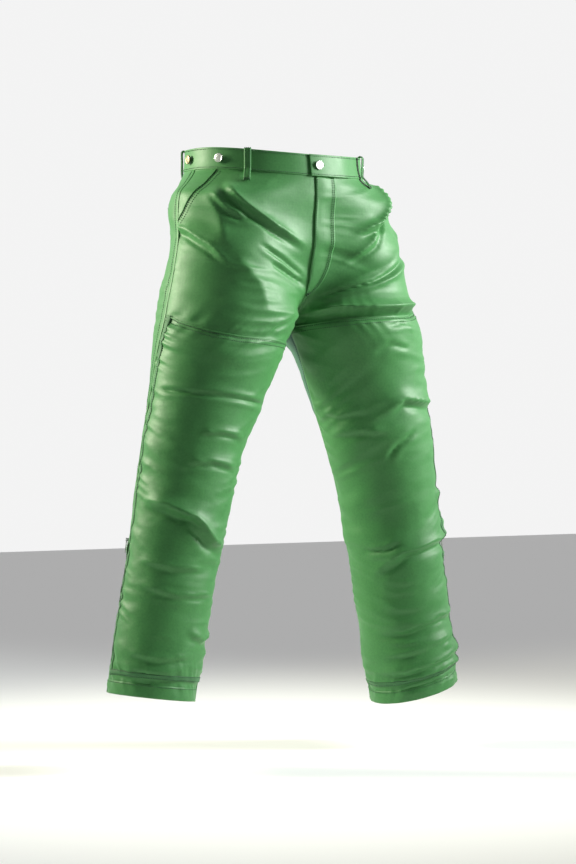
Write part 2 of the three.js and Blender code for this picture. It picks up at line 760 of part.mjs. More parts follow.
// A strip of lining that lies behind a zip.
const shield = (from, to, bottom, top) => box(from, to, SHIELD_DEPTH, SHIELD_DEPTH + 1, bottom, top);

// The fly's zip lies in the slot between the fronts, on the straight line down the belly.
const flyBottom = frontPoint(FLY.zip, FLY.bottom + 18, -FLY.depth);
const flyTop = frontPoint(FLY.zip, FLY.top - 12, -FLY.depth);
const flyLength = flyTop.distanceTo(flyBottom);
const flyUp = flyTop.clone().sub(flyBottom).normalize();
const flyPlace = facing(flyBottom, new THREE.Vector3(0, -1, 0), flyUp);
zip("fly_zip", flyLength, flyPlace, [14, 1.6], ["left", "right"]);
add("fly_shield", shield(-FLY.zip - 12, 13, 0, flyLength + 10), "lining", flyPlace);

// The leg zips lie in the outer seams below the knees, with a shield behind each.
const seamPoint = (level, lift) => surface(0, level, lift, true);
for (const side of ["right", "left"]) {
  const sign = side === "left" ? -1 : 1;
  stance = STANCE[side];
  const low = seamPoint(LEG_ZIP.bottom, -LEG_ZIP.depth);
  const high = seamPoint(LEG_ZIP.top - 4, -LEG_ZIP.depth);
  for (const end of [low, high]) end.x *= sign;
  const up = high.clone().sub(low);
  const turn = legRow(LEG_ZIP.top).turn;
  const outward = new THREE.Vector3(-sign * Math.cos(turn), Math.sin(turn), 0);
  const place = facing(low, outward, up.clone().normalize());
  const hands = side === "right" ? ["front", "back"] : ["back", "front"];
  zip(`${side}_leg_zip`, up.length(), place, [PULL.length, 6], hands);
  add(`${side}_zip_shield`, shield(-16, 16, -6, up.length() + 4), "lining", place);
}

export default trousers;
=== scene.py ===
"""Chainsaw trousers in worn shape: satin nylon with padded leg guards, brace buttons and calf zips.

Lengths in the tables are millimetres in the row frame: +X to the wearer's left, -Y the front, +Z up.
Every mesh is in metres.
"""
import itertools
import math

import bmesh
import bpy
import numpy as np
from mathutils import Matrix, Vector


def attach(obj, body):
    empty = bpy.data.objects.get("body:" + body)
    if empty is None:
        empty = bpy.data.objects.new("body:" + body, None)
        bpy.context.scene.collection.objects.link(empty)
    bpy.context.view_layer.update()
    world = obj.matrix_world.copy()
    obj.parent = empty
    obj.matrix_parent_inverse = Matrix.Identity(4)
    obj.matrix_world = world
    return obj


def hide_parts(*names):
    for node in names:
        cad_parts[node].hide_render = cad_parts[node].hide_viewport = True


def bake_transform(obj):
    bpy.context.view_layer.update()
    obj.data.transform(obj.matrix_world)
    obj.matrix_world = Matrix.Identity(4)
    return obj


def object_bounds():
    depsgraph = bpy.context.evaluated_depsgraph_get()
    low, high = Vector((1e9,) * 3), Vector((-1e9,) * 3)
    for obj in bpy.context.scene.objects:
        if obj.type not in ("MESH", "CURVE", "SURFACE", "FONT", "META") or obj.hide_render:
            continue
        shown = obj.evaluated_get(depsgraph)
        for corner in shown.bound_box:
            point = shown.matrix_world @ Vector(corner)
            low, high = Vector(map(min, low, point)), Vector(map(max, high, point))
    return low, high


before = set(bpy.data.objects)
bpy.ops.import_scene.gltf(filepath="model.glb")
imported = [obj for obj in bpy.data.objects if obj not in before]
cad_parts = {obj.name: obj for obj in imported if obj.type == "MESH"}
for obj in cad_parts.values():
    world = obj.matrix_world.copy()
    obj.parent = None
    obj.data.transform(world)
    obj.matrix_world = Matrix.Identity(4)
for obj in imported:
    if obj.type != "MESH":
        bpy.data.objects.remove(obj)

CAD_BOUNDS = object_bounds()
MM = 0.001
SIDES = ("right", "left")
FACING = {"right": 1, "left": -1}  # which way the grid of a front, band or hem is wound

# ---------------------------------------------------------------- camera, lights and floor

VIEW_AZIMUTH = math.radians(-35)
CAMERA_DISTANCE = 4.5
AIM = (0.0272, -0.499)  # to the right of the waist's middle, and up, as the camera sees it
LENS = 100.25
SENSOR = 36
FLOOR_DROP = 0.085


def light(name, place, size, power, colour=(1, 1, 1), aim_up=-0.5, spread=180):
    data = bpy.data.lights.new(name, "AREA")
    data.shape = "RECTANGLE"
    data.size, data.size_y = size
    data.energy = power
    data.color = colour
    data.spread = math.radians(spread)
    lamp = bpy.data.objects.new(name, data)
    lamp.location = place
    aim = Vector((0, 0, aim_up)) - Vector(place)
    lamp.rotation_euler = aim.to_track_quat("-Z", "Y").to_euler()
    bpy.context.scene.collection.objects.link(lamp)


def from_view(right, toward, up):
    """A place given as the camera sees it: to its right, towards it and up, from the waist."""
    c, s = math.cos(VIEW_AZIMUTH), math.sin(VIEW_AZIMUTH)
    return Vector((right * c + toward * s, right * s - toward * c, up))


def studio():
    camera = bpy.data.cameras.new("camera")
    camera.sensor_fit = "VERTICAL"
    camera.sensor_height = SENSOR
    camera.lens = LENS
    view = bpy.data.objects.new("camera", camera)
    view.location = from_view(AIM[0], CAMERA_DISTANCE, AIM[1])
    view.rotation_euler = (math.pi / 2, 0, VIEW_AZIMUTH)
    bpy.context.scene.collection.objects.link(view)
    bpy.context.scene.camera = view
    bpy.context.scene.view_settings.view_transform = "Standard"

    light("left_softbox", from_view(-2.3, -0.1, 0.6), (0.8, 1.2), 27, (1.0, 0.98, 0.78), -0.1, 75)
    light("right_softbox", from_view(2.3, -0.05, 0.6), (0.8, 1.2), 30, (0.96, 1.0, 0.95), -0.1, 75)
    light("front_fill", from_view(-0.6, 3.4, 1.4), (1.2, 1.2), 5)

    world = bpy.data.worlds.new("studio")
    world.use_nodes = True
    nodes, links = world.node_tree.nodes, world.node_tree.links
    place = nodes.new("ShaderNodeTexCoord")
    behind = nodes.new("ShaderNodeVectorMath")
    behind.operation = "DOT_PRODUCT"
    behind.inputs[1].default_value = from_view(0, -1, 0)
    spread = nodes.new("ShaderNodeMapRange")
    spread.interpolation_type = "SMOOTHSTEP"
    for socket, value in (("From Min", -0.1), ("From Max", 0.6), ("To Min", 0.18), ("To Max", 0.9)):
        spread.inputs[socket].default_value = value
    links.new(place.outputs["Generated"], behind.inputs[0])
    links.new(behind.outputs["Value"], spread.inputs["Value"])
    links.new(spread.outputs["Result"], nodes["Background"].inputs["Strength"])
    nodes["Background"].inputs["Color"].default_value = (1, 1, 1, 1)
    bpy.context.scene.world = world

    bpy.ops.mesh.primitive_plane_add(size=14, location=(0, 0, CAD_BOUNDS[0][2] - FLOOR_DROP))
    floor = bpy.context.object
    floor.name = "floor"
    paper = bpy.data.materials.new("floor_paper")
    paper.use_nodes = True
    shader = paper.node_tree.nodes["Principled BSDF"]
    shader.inputs["Base Color"].default_value = (0.92, 0.92, 0.92, 1)
    shader.inputs["Roughness"].default_value = 0.9
    floor.data.materials.append(paper)


studio()

# ---------------------------------------------------------------- the shape of the trousers

# Level, half width, middle in y, depth in front, depth behind, share of depth missing at the front's middle.
TORSO = np.array([
    [30, 172, 2, 136, 138, 0],
    [-20, 178, -2, 140, 142, 0],
    [-42, 198, -14, 144, 146, 0.1],
    [-66, 222, -22, 150, 148, 0.19],
    [-108, 228, -24, 154, 150, 0.25],
    [-150, 234, -34, 158, 150, 0.34],
    [-200, 246, -44, 160, 148, 0.45],
    [-282, 254, -46, 162, 142, 0.4],
])
# Level, axis out from the middle, axis y, half width, half depth, slope of a row.
LEG = np.array([
    [-150, 118, -34, 118, 118, 0],
    [-282, 133, -45, 133, 126, 0],
    [-346, 157, -45, 121, 116, 0.06],
    [-433, 184, -46, 106, 100, 0.12],
    [-520, 211, -47, 96, 92, 0.17],
    [-608, 230, -44, 90, 87, 0.19],
    [-695, 246, -42, 86, 85, 0.19],
    [-783, 262, -40, 84, 83, 0.19],
    [-870, 277, -39, 84, 83, 0.19],
    [-972, 294, -39, 84, 83, 0.19],
])
STANCE = {
    "right": {"out": 0, "girth": 0.94, "drop": 0, "slope": -0.06, "turn": 28},
    "left": {"out": 8, "girth": 1, "drop": 22, "slope": 0.08, "turn": -28},
}
STANCE_FROM, STANCE_TO = -282, -560
FORK_TOP, CROTCH, HEM = -150, -282, -972
HOLLOW_FROM = 0.35
BAND_TOP, BAND_BOTTOM = 20, -20
FRONT_DIP, BACK_RISE, DIP_ENDS = 13, 12, -130
GUARD_TOP = {"right": (-289, -331, -335), "left": (-256, -286, -302)}
GUARD_EDGE = 0.1  # share of the row in front of the outer seam
GUARD_BOTTOM = -938
HEM_BAND = 24
LEG_ZIP_TOP, LEG_ZIP_BOTTOM, ZIP_SLOT, LEG_ZIP_DEPTH, ZIP_OPENING = -690, -945, 7, 5, 50
ROW_WIDTH = 285  # a row's usual width from seam to seam, to measure distances across a panel


def smooth(x, low, high):
    t = np.clip((x - low) / (high - low), 0, 1)
    return t * t * (3 - 2 * t)


def mix(a, b, t):
    return a + (b - a) * t


def along(table, level, column):
    """A value from a table by level, on a smooth curve through its rows."""
    x, y = -table[:, 0], table[:, column]
    at = np.clip(-np.asarray(level, float), x[0], x[-1])
    i = np.clip(np.searchsorted(x, at, side="right") - 1, 0, len(x) - 2)
    before, after = np.maximum(i - 1, 0), np.minimum(i + 2, len(x) - 1)
    span = x[i + 1] - x[i]
    s = (at - x[i]) / span
    slope_in = (y[i + 1] - y[before]) / (x[i + 1] - x[before]) * span
    slope_out = (y[after] - y[i]) / (x[after] - x[i]) * span
    return (
        (2 * s**3 - 3 * s**2 + 1) * y[i] + (s**3 - 2 * s**2 + s) * slope_in
        + (3 * s**2 - 2 * s**3) * y[i + 1] + (s**3 - s**2) * slope_out
    )


def torso_point(share, level, lift, front):
    angle = share * math.pi / 2
    hollow = 1 - along(TORSO, level, 5) * smooth(share, HOLLOW_FROM, 1) if front else 1
    depth = along(TORSO, level, 3 if front else 4) * hollow + lift
    fade = smooth(level, DIP_ENDS, BAND_BOTTOM)
    rise = -FRONT_DIP if front else BACK_RISE
    x = -(along(TORSO, level, 1) + lift) * np.cos(angle)
    y = along(TORSO, level, 2) + (-1 if front else 1) * depth * np.sin(angle)
    return np.stack([x, y, level + rise * fade * np.sin(angle) ** 2], -1)


def leg_row(level, side):
    stance = STANCE[side]
    settled = smooth(-np.asarray(level, float), -STANCE_FROM, -STANCE_TO)
    girth = mix(1, stance["girth"], settled)
    return {
        "axis": along(LEG, level, 1) + stance["out"] * settled,
        "y": along(LEG, level, 2),
        "half": along(LEG, level, 3) * girth,
        "depth": along(LEG, level, 4) * girth,
        "slope": along(LEG, level, 5) + stance["slope"] * settled,
        "height": level - stance["drop"] * settled,
        "turn": math.radians(stance["turn"]) * settled,
    }


def leg_point(share, level, lift, front, side):
    row = leg_row(level, side)
    angle = share * math.pi + (-row["turn"] if front else row["turn"])
    out = (row["half"] + lift) * np.cos(angle)
    depth = (row["depth"] + lift) * np.sin(angle)
    y = row["y"] + (-depth if front else depth)
    return np.stack([-(row["axis"] + out), y, row["height"] + out * row["slope"]], -1)


def surface(share, level, lift, front, side):
    """Points on one half, in metres: share 0 is the outer seam, and 1 the middle or the inseam."""
    share, level, lift = np.broadcast_arrays(*(np.asarray(v, float) for v in (share, level, lift)))
    leg = leg_point(share, level, lift, front, side)
    parted = np.clip((FORK_TOP - level) / (FORK_TOP - CROTCH), 0, 1)
    at_side = 1 - smooth(parted, 0, 1)
    whole = mix(at_side, np.sqrt(1 - parted * parted), share * share)[..., None]
    point = mix(leg, torso_point(share, level, lift, front), whole)
    point[..., 0] = np.minimum(point[..., 0], 0)
    if side == "left":
        point[..., 0] *= -1
    return point * MM


def zip_edge(level, side):
    opened = smooth(-np.asarray(level, float), -LEG_ZIP_TOP - ZIP_OPENING, -LEG_ZIP_TOP)
    return opened * ZIP_SLOT / (leg_row(level, side)["depth"] * math.pi)


def guard_top(side, share):
    outer, front, inner = GUARD_TOP[side]
    share = np.asarray(share, float)
    early = mix(outer, front, np.sin(np.minimum(share, 0.5) * math.pi))
    return np.where(share < 0.5, early, mix(front, inner, share * 2 - 1))


# ---------------------------------------------------------------- sheets of cloth as grids

def guard_edge(level):
    """The share of the row where the guard's outer edge lies: it nears the side seam at the top."""
    return mix(0.02, GUARD_EDGE, smooth(-np.asarray(level, float), -STANCE_FROM, -STANCE_TO))


def patchy(u, v, size_u, size_v, seed):
    """Smooth noise from -1 to 1, with blobs of the given size."""
    rng = np.random.default_rng(seed)
    lattice = rng.uniform(-1, 1, (64, 64))
    a, b = u / size_u + 17.3, v / size_v + 9.1
    i, j = np.floor(a).astype(int), np.floor(b).astype(int)
    s, t = smooth(a - i, 0, 1), smooth(b - j, 0, 1)
    pick = lambda di, dj: lattice[(i + di) % 64, (j + dj) % 64]
    return mix(mix(pick(0, 0), pick(1, 0), s), mix(pick(0, 1), pick(1, 1), s), t)


def unit(vectors):
    return vectors / np.maximum(np.linalg.norm(vectors, axis=-1, keepdims=True), 1e-12)


def unit_grid(rows, columns):
    """How far down and across each point of a grid lies, from 0 to 1."""
    return np.linspace(0, 1, rows)[:, None], np.linspace(0, 1, columns)[None, :]


def refined(grid):
    """The grid with a point added halfway between each two, on a smooth curve."""
    for axis in (0, 1):
        g = np.moveaxis(grid, axis, 0)
        padded = np.concatenate([2 * g[:1] - g[1:2], g, 2 * g[-1:] - g[-2:-1]])
        middle = (9 * (padded[1:-2] + padded[2:-1]) - padded[:-3] - padded[3:]) / 16
        out = np.empty((len(g) * 2 - 1, *g.shape[1:]))
        out[0::2], out[1::2] = g, middle
        grid = np.moveaxis(out, 0, axis)
    return grid


class Cloth:
    """A grid of points, with how far across and down the panel each lies, in millimetres."""

    def __init__(self, points, share, level, outward):
        self.points, self.share, self.level, self.outward = points, share, level, outward
        self.normals = unit(np.cross(np.gradient(points, axis=0), np.gradient(points, axis=1)) * outward)

    def lifted(self, height):
        points = self.points + self.normals * (np.asarray(height) * MM)[..., None]
        return Cloth(points, self.share, self.level, self.outward)

    def fine(self):
        share, level = (refined(g[..., None])[..., 0] for g in (self.share, self.level))
        return Cloth(refined(self.points), share, level, self.outward)

    def part(self, rows, columns):
        kept = (grid[rows, columns] for grid in (self.points, self.share, self.level))
        return Cloth(*kept, self.outward)

    def at(self, column, row):
        """Points and normals at fractional grid places."""
        rows, columns = self.points.shape[:2]
        c = np.clip(np.asarray(column, float), 0, columns - 1.0001)
        r = np.clip(np.asarray(row, float), 0, rows - 1.0001)
        i, j = c.astype(int), r.astype(int)
        s, t = (c - i)[..., None], (r - j)[..., None]

        def sample(grid):
            return mix(mix(grid[j, i], grid[j, i + 1], s), mix(grid[j + 1, i], grid[j + 1, i + 1], s), t)

        return sample(self.points), sample(self.normals)

    def find(self, share, level):
        """The fractional grid places of points given by share and level."""
        share, level = np.broadcast_arrays(np.asarray(share, float), np.asarray(level, float))
        column, row = np.empty(share.shape), np.empty(share.shape)
        rows, columns = (np.arange(n) for n in self.share.shape)
        for k in np.ndindex(share.shape):
            j = len(rows) // 2
            for _ in range(3):
                column[k] = np.interp(share[k], self.share[j], columns)
                row[k] = np.interp(-level[k], -self.level[:, int(round(column[k]))], rows)
                j = int(round(row[k]))
        return column, row

    def trace(self, share, level, lift=0.0):
        points, normals = self.at(*self.find(share, level))
        return points + normals * lift * MM, normals


def folded(cloth, strokes, turn=0):
    """Heights of the listed folds, whose shares are turned with the leg."""
    u, v = (cloth.share - turn / math.pi) * ROW_WIDTH, cloth.level
    height = np.zeros(u.shape)
    for kind, rise, width, path in strokes:
        spots = np.array([(share * ROW_WIDTH, level) for share, level in path], float)
        best = np.full(u.shape, 1e9)
        side, place = np.zeros(u.shape), np.zeros(u.shape)
        for k, (a, b) in enumerate(zip(spots[:-1], spots[1:])):
            d = b - a
            t = np.clip(((u - a[0]) * d[0] + (v - a[1]) * d[1]) / (d @ d), 0, 1)
            du, dv = u - a[0] - t * d[0], v - a[1] - t * d[1]
            gap = np.hypot(du, dv)
            nearer = gap < best
            best = np.where(nearer, gap, best)
            side = np.where(nearer, np.sign(d[0] * dv - d[1] * du), side)
            place = np.where(nearer, (k + t) / (len(spots) - 1), place)
        x = best * side / width
        taper = smooth(place, 0, 0.22) * (1 - smooth(place, 0.72, 1.0))
        if kind == "fold":
            profile = np.where(x > 0, np.exp(-1.1 * x), np.exp(3.2 * x))
            profile = profile - 0.45 * np.exp(-((x + 0.75) ** 2) * 7)
        elif kind == "crease":
            profile = 0.5 * np.exp(-((np.abs(x) - 1) ** 2) * 2.2) - np.exp(-np.abs(x) * 2.6)
        else:
            profile = np.exp(-1.3 * np.abs(x) ** 1.4)
        height += rise * taper * profile
    return height


# ---------------------------------------------------------------- meshes

def mesh_piece(name, vertices, faces, material, uv=None, smooth_faces=True):
    mesh = bpy.data.meshes.new(name)
    mesh.from_pydata(np.asarray(vertices).tolist(), [], faces)
    if uv is not None:
        layer = mesh.uv_layers.new(name="cloth")
        corners = np.empty(len(mesh.loops), int)
        mesh.loops.foreach_get("vertex_index", corners)
        layer.data.foreach_set("uv", np.asarray(uv)[corners].ravel())
    if smooth_faces:
        mesh.polygons.foreach_set("use_smooth", [True] * len(mesh.polygons))
    mesh.update()
    piece = bpy.data.objects.new(name, mesh)
    mesh.materials.append(MATERIALS[material])
    bpy.context.scene.collection.objects.link(piece)
    return piece


def shell(name, cloth, thick, material, outer=0.0):
    """A closed piece of cloth: its outer face stands outer millimetres off the grid."""
    top, low = cloth.lifted(outer), cloth.lifted(np.asarray(outer) - thick)
    rows, columns = cloth.points.shape[:2]
    index = np.arange(rows * columns).reshape(rows, columns)
    under = index + rows * columns
    quad = lambda a, b, c, d: np.stack([a, b, c, d], -1).reshape(-1, 4)
    faces = [
        quad(index[:-1, :-1], index[1:, :-1], index[1:, 1:], index[:-1, 1:]),
        quad(under[:-1, :-1], under[:-1, 1:], under[1:, 1:], under[1:, :-1]),
        quad(index[0, :-1], index[0, 1:], under[0, 1:], under[0, :-1]),
        quad(index[-1, 1:], index[-1, :-1], under[-1, :-1], under[-1, 1:]),
        quad(index[1:, 0], index[:-1, 0], under[:-1, 0], under[1:, 0]),
        quad(index[:-1, -1], index[1:, -1], under[1:, -1], under[:-1, -1]),
    ]
    faces = np.concatenate(faces)
    if cloth.outward < 0:
        faces = faces[:, ::-1]
    uv = np.stack([cloth.share * ROW_WIDTH, cloth.level], -1).reshape(-1, 2) * MM
    vertices = np.concatenate([top.points.reshape(-1, 3), low.points.reshape(-1, 3)])
    return mesh_piece(name, vertices, faces.tolist(), material, np.concatenate([uv, uv]))


def frames_along(points, normals):
    ahead = unit(np.gradient(points, axis=0))
    return ahead, unit(np.cross(normals, ahead))


def travelled(points):
    """How far along a path each of its points lies."""
    return np.r_[0, np.cumsum(np.linalg.norm(np.diff(points, axis=0), axis=1))]


def strip(name, points, normals, width, thick, material, crown=0.3):
    """A closed ribbon along a path, a little raised in its middle."""
    _, aside = frames_along(points, normals)
    left = [(-0.5, 0.0), (-0.47, 0.8), (-0.25, 1.0)]
    section = [*left, (0, 1.0 + crown), *((-a, b) for a, b in left[::-1])]
    ring = [points + aside * (a * width * MM) + normals * (b * thick * MM) for a, b in section]
    count, sides = len(points), len(section)
    vertices = np.stack(ring, 1).reshape(-1, 3)
    index = np.arange(count * sides).reshape(count, sides)
    after = np.roll(index, -1, axis=1)
    faces = np.stack([index[:-1], index[1:], after[1:], after[:-1]], -1).reshape(-1, 4).tolist()
    faces += [index[0].tolist(), index[-1][::-1].tolist()]
    aside = np.tile([a * width * MM for a, _ in section], count)
    uv = np.stack([aside, np.repeat(travelled(points), sides)], -1)
    piece = mesh_piece(name, vertices, faces, material, uv)
    consistent(piece)
    return piece


def consistent(piece):
    """Turn every face outwards."""
    work = bmesh.new()
    work.from_mesh(piece.data)
    bmesh.ops.recalc_face_normals(work, faces=work.faces)
    work.to_mesh(piece.data)
    work.free()


def evenly(points, normals, pitch):
    """Points and normals at an even pitch along a path."""
    steps = travelled(points)
    count = max(int(steps[-1] / (pitch * MM)), 2)
    at = np.linspace(0, steps[-1], count)
    take = lambda grid: np.stack([np.interp(at, steps, grid[:, k]) for k in range(3)], -1)
    return take(points), take(normals)


STITCH_FACES = (
    (0, 1, 2), (0, 2, 3), (0, 3, 1),
    (1, 4, 5, 2), (2, 5, 6, 3), (3, 6, 4, 1),
    (7, 5, 4), (7, 6, 5), (7, 4, 6),
)


# stitches default to the dark thread material, whose colour is partly painted seam shade
def stitches(name, paths, material="thread_with_painted_seam_shade", pitch=4.2, length=3.2, radius=0.55):
    """Rows of separate stitches, each a small pointed bar that dips into the cloth at its ends."""
    vertices, faces = [], []
    half, r = length / 2 * MM, radius * MM
    for points, normals in paths:
        points, normals = evenly(points, normals, pitch)
        for p, n, a, s in zip(points, normals, *frames_along(points, normals)):
            base = len(vertices)
            ring = (s * r, n * r * 1.5, -s * r)
            vertices += [p - a * half, *(p - a * half * 0.5 + v for v in ring)]
            vertices += [*(p + a * half * 0.5 + v for v in ring), p + a * half]
            faces += [[base + k for k in corners] for corners in STITCH_FACES]
    return mesh_piece(name, vertices, faces, material)


def sew(name, paths, body="root", **looks):
    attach(stitches(name, paths, **looks), body)


# ---------------------------------------------------------------- materials

MATERIALS = {}


class Paint:
    """A small helper that adds nodes to one material."""

    def __init__(self, name):
        self.material = bpy.data.materials.new(name)
        self.material.use_nodes = True
        self.tree = self.material.node_tree
        self.shader = self.tree.nodes["Principled BSDF"]

    def node(self, kind, inputs=(), **settings):
        node = self.tree.nodes.new(kind)
        for key, value in settings.items():
            setattr(node, key, value)
        for key, value in dict(inputs).items():
            if isinstance(value, bpy.types.NodeSocket):
                self.tree.links.new(value, node.inputs[key])
            else:
                node.inputs[key].default_value = value
        return node

    def set(self, **values):
        for key, value in values.items():
            self.shader.inputs[key.replace("_", " ")].default_value = value

    def link(self, socket, target):
        self.tree.links.new(socket, self.shader.inputs[target])

    def ramp(self, factor, low, high, colours):
        node = self.node("ShaderNodeValToRGB", {"Fac": factor})
        node.color_ramp.elements[0].position, node.color_ramp.elements[1].position = low, high
        for element, colour in zip(node.color_ramp.elements, colours):
            element.color = (*colour, 1)
        return node.outputs["Color"]

    def scalar(self, factor, low, high):
        inputs = {"Value": factor, "To Min": low, "To Max": high}
        return self.node("ShaderNodeMapRange", inputs).outputs["Result"]

    def noise(self, place, scale, detail, **more):
        inputs = {"Vector": place, "Scale": scale, "Detail": detail, **more}
        return self.node("ShaderNodeTexNoise", inputs).outputs["Fac"]

    def bump(self, height, strength, distance, **more):
        inputs = {"Height": height, "Strength": strength, "Distance": distance, **more}
        return self.node("ShaderNodeBump", inputs).outputs["Normal"]

    def combine(self, operation, a, b):
        return self.node("ShaderNodeMath", {0: a, 1: b}, operation=operation).outputs[0]

    def thread_wave(self, uv, scale, way):
        inputs = {"Vector": uv, "Scale": scale}
        return self.node("ShaderNodeTexWave", inputs, bands_direction=way).outputs["Fac"]


def woven(name, dark, pale, roughness, sheen, weave=0.9, bump=0.25, side=None):
    """Woven cloth: threads both ways from the panel's own coordinates, cloudy dye and small creases."""
    paint = Paint(name)
    uv = paint.node("ShaderNodeTexCoord").outputs["UV"]
    place = paint.node("ShaderNodeTexCoord").outputs["Object"]
    scale = 1 / (weave * MM * 2 * math.pi) * 0.314
    warp, weft = (paint.thread_wave(uv, scale, way) for way in "XY")
    threads = paint.combine("MULTIPLY", warp, weft)
    dye = paint.noise(place, 9.0, 4.0, Roughness=0.6)
    slub = paint.noise(place, 260.0, 2.0)
    crease = paint.noise(place, 70.0, 3.0, Distortion=0.6)
    tone = paint.combine("MULTIPLY", paint.combine("ADD", dye, slub), 0.5)
    colour = paint.ramp(tone, 0.36, 0.64, (dark, pale))
    if side:
        spread = paint.node("ShaderNodeSeparateXYZ", {"Vector": uv}).outputs["X"]
        near = paint.node("ShaderNodeMapRange", {"Value": spread, "From Min": 0.055, "From Max": 0.075})
        both = paint.node("ShaderNodeMix", {"Factor": near.outputs["Result"]}, data_type="RGBA")
        both.inputs[6].default_value = (*side, 1)
        paint.tree.links.new(colour, both.inputs[7])
        colour = both.outputs[2]
    paint.link(colour, "Base Color")
    paint.link(paint.scalar(crease, roughness - 0.05, roughness + 0.07), "Roughness")
    small = paint.bump(crease, bump * 0.5, 0.0012)
    paint.link(paint.bump(threads, bump, 0.00012, Normal=small), "Normal")
    paint.set(Sheen_Weight=sheen, Sheen_Roughness=0.4, Sheen_Tint=(0.6, 1.0, 0.6, 1), Specular_IOR_Level=0.32)
    return paint


def metal(name, colour, dull, roughness):
    paint = Paint(name)
    place = paint.node("ShaderNodeTexCoord").outputs["Object"]
    tarnish, scratches = paint.noise(place, 320.0, 5.0), paint.noise(place, 1400.0, 2.0)
    paint.link(paint.ramp(tarnish, 0.35, 0.7, (colour, dull)), "Base Color")
    paint.link(paint.scalar(scratches, roughness - 0.06, roughness + 0.12), "Roughness")
    paint.link(paint.bump(scratches, 0.15, 0.0001), "Normal")
    paint.set(Metallic=1.0)
    return paint


def make_materials():
    made = {
        "shell": woven("satin_nylon", (0.032, 0.150, 0.038), (0.044, 0.185, 0.048), 0.5, 0.14),
        "back": woven(
            "back_nylon", (0.042, 0.125, 0.078), (0.055, 0.155, 0.098), 0.55, 0.1, side=(0.036, 0.160, 0.042)
        ),
        # binding tape: darker than the shell, partly the tape's own colour and partly painted shade standing
        # in for the ditch along the guard's edge
        "binding": woven("binding_tape_with_painted_shade", (0.026, 0.115, 0.036), (0.036, 0.140, 0.046), 0.6, 0.1, 1.2, 0.5),
        "padding": woven("padding_fibre", (0.72, 0.68, 0.56), (0.85, 0.82, 0.72), 0.9, 0.4, 3.0, 0.6),
        "lining": woven("lining_cloth", (0.020, 0.060, 0.026), (0.032, 0.085, 0.038), 0.75, 0.1, 0.7, 0.4),
        "tape": woven("zip_tape", (0.006, 0.018, 0.012), (0.012, 0.030, 0.021), 0.7, 0.1, 1.0, 0.6),
        # thread colours: darker than the thread's own colour, painted shade standing in for the groove each
        # seam and stitch row sinks into the cloth
        "thread_with_painted_seam_shade": woven("thread_with_painted_seam_shade", (0.006, 0.034, 0.016), (0.012, 0.055, 0.026), 0.6, 0.1, 0.4, 0.5),
        "back_thread_with_painted_seam_shade": woven("back_thread_with_painted_seam_shade", (0.008, 0.036, 0.024), (0.016, 0.058, 0.038), 0.6, 0.1, 0.4, 0.5),
        "teeth": woven("zip_teeth", (0.012, 0.022, 0.017), (0.020, 0.034, 0.027), 0.35, 0.0, 0.5, 0.1),
        "silver": metal("bright_metal", (0.62, 0.66, 0.62), (0.45, 0.50, 0.46), 0.34),
        "brass": metal("antique_brass", (0.30, 0.27, 0.16), (0.16, 0.15, 0.10), 0.38),
    }
    for name, paint in made.items():
        MATERIALS[name] = paint.material


make_materials()

# ---------------------------------------------------------------- the panels

UPPER_ROWS, GUARD_ROWS, HEM_ROWS = 66, 128, 8
EDGE_COLUMNS, FRONT_COLUMNS = 5, 42

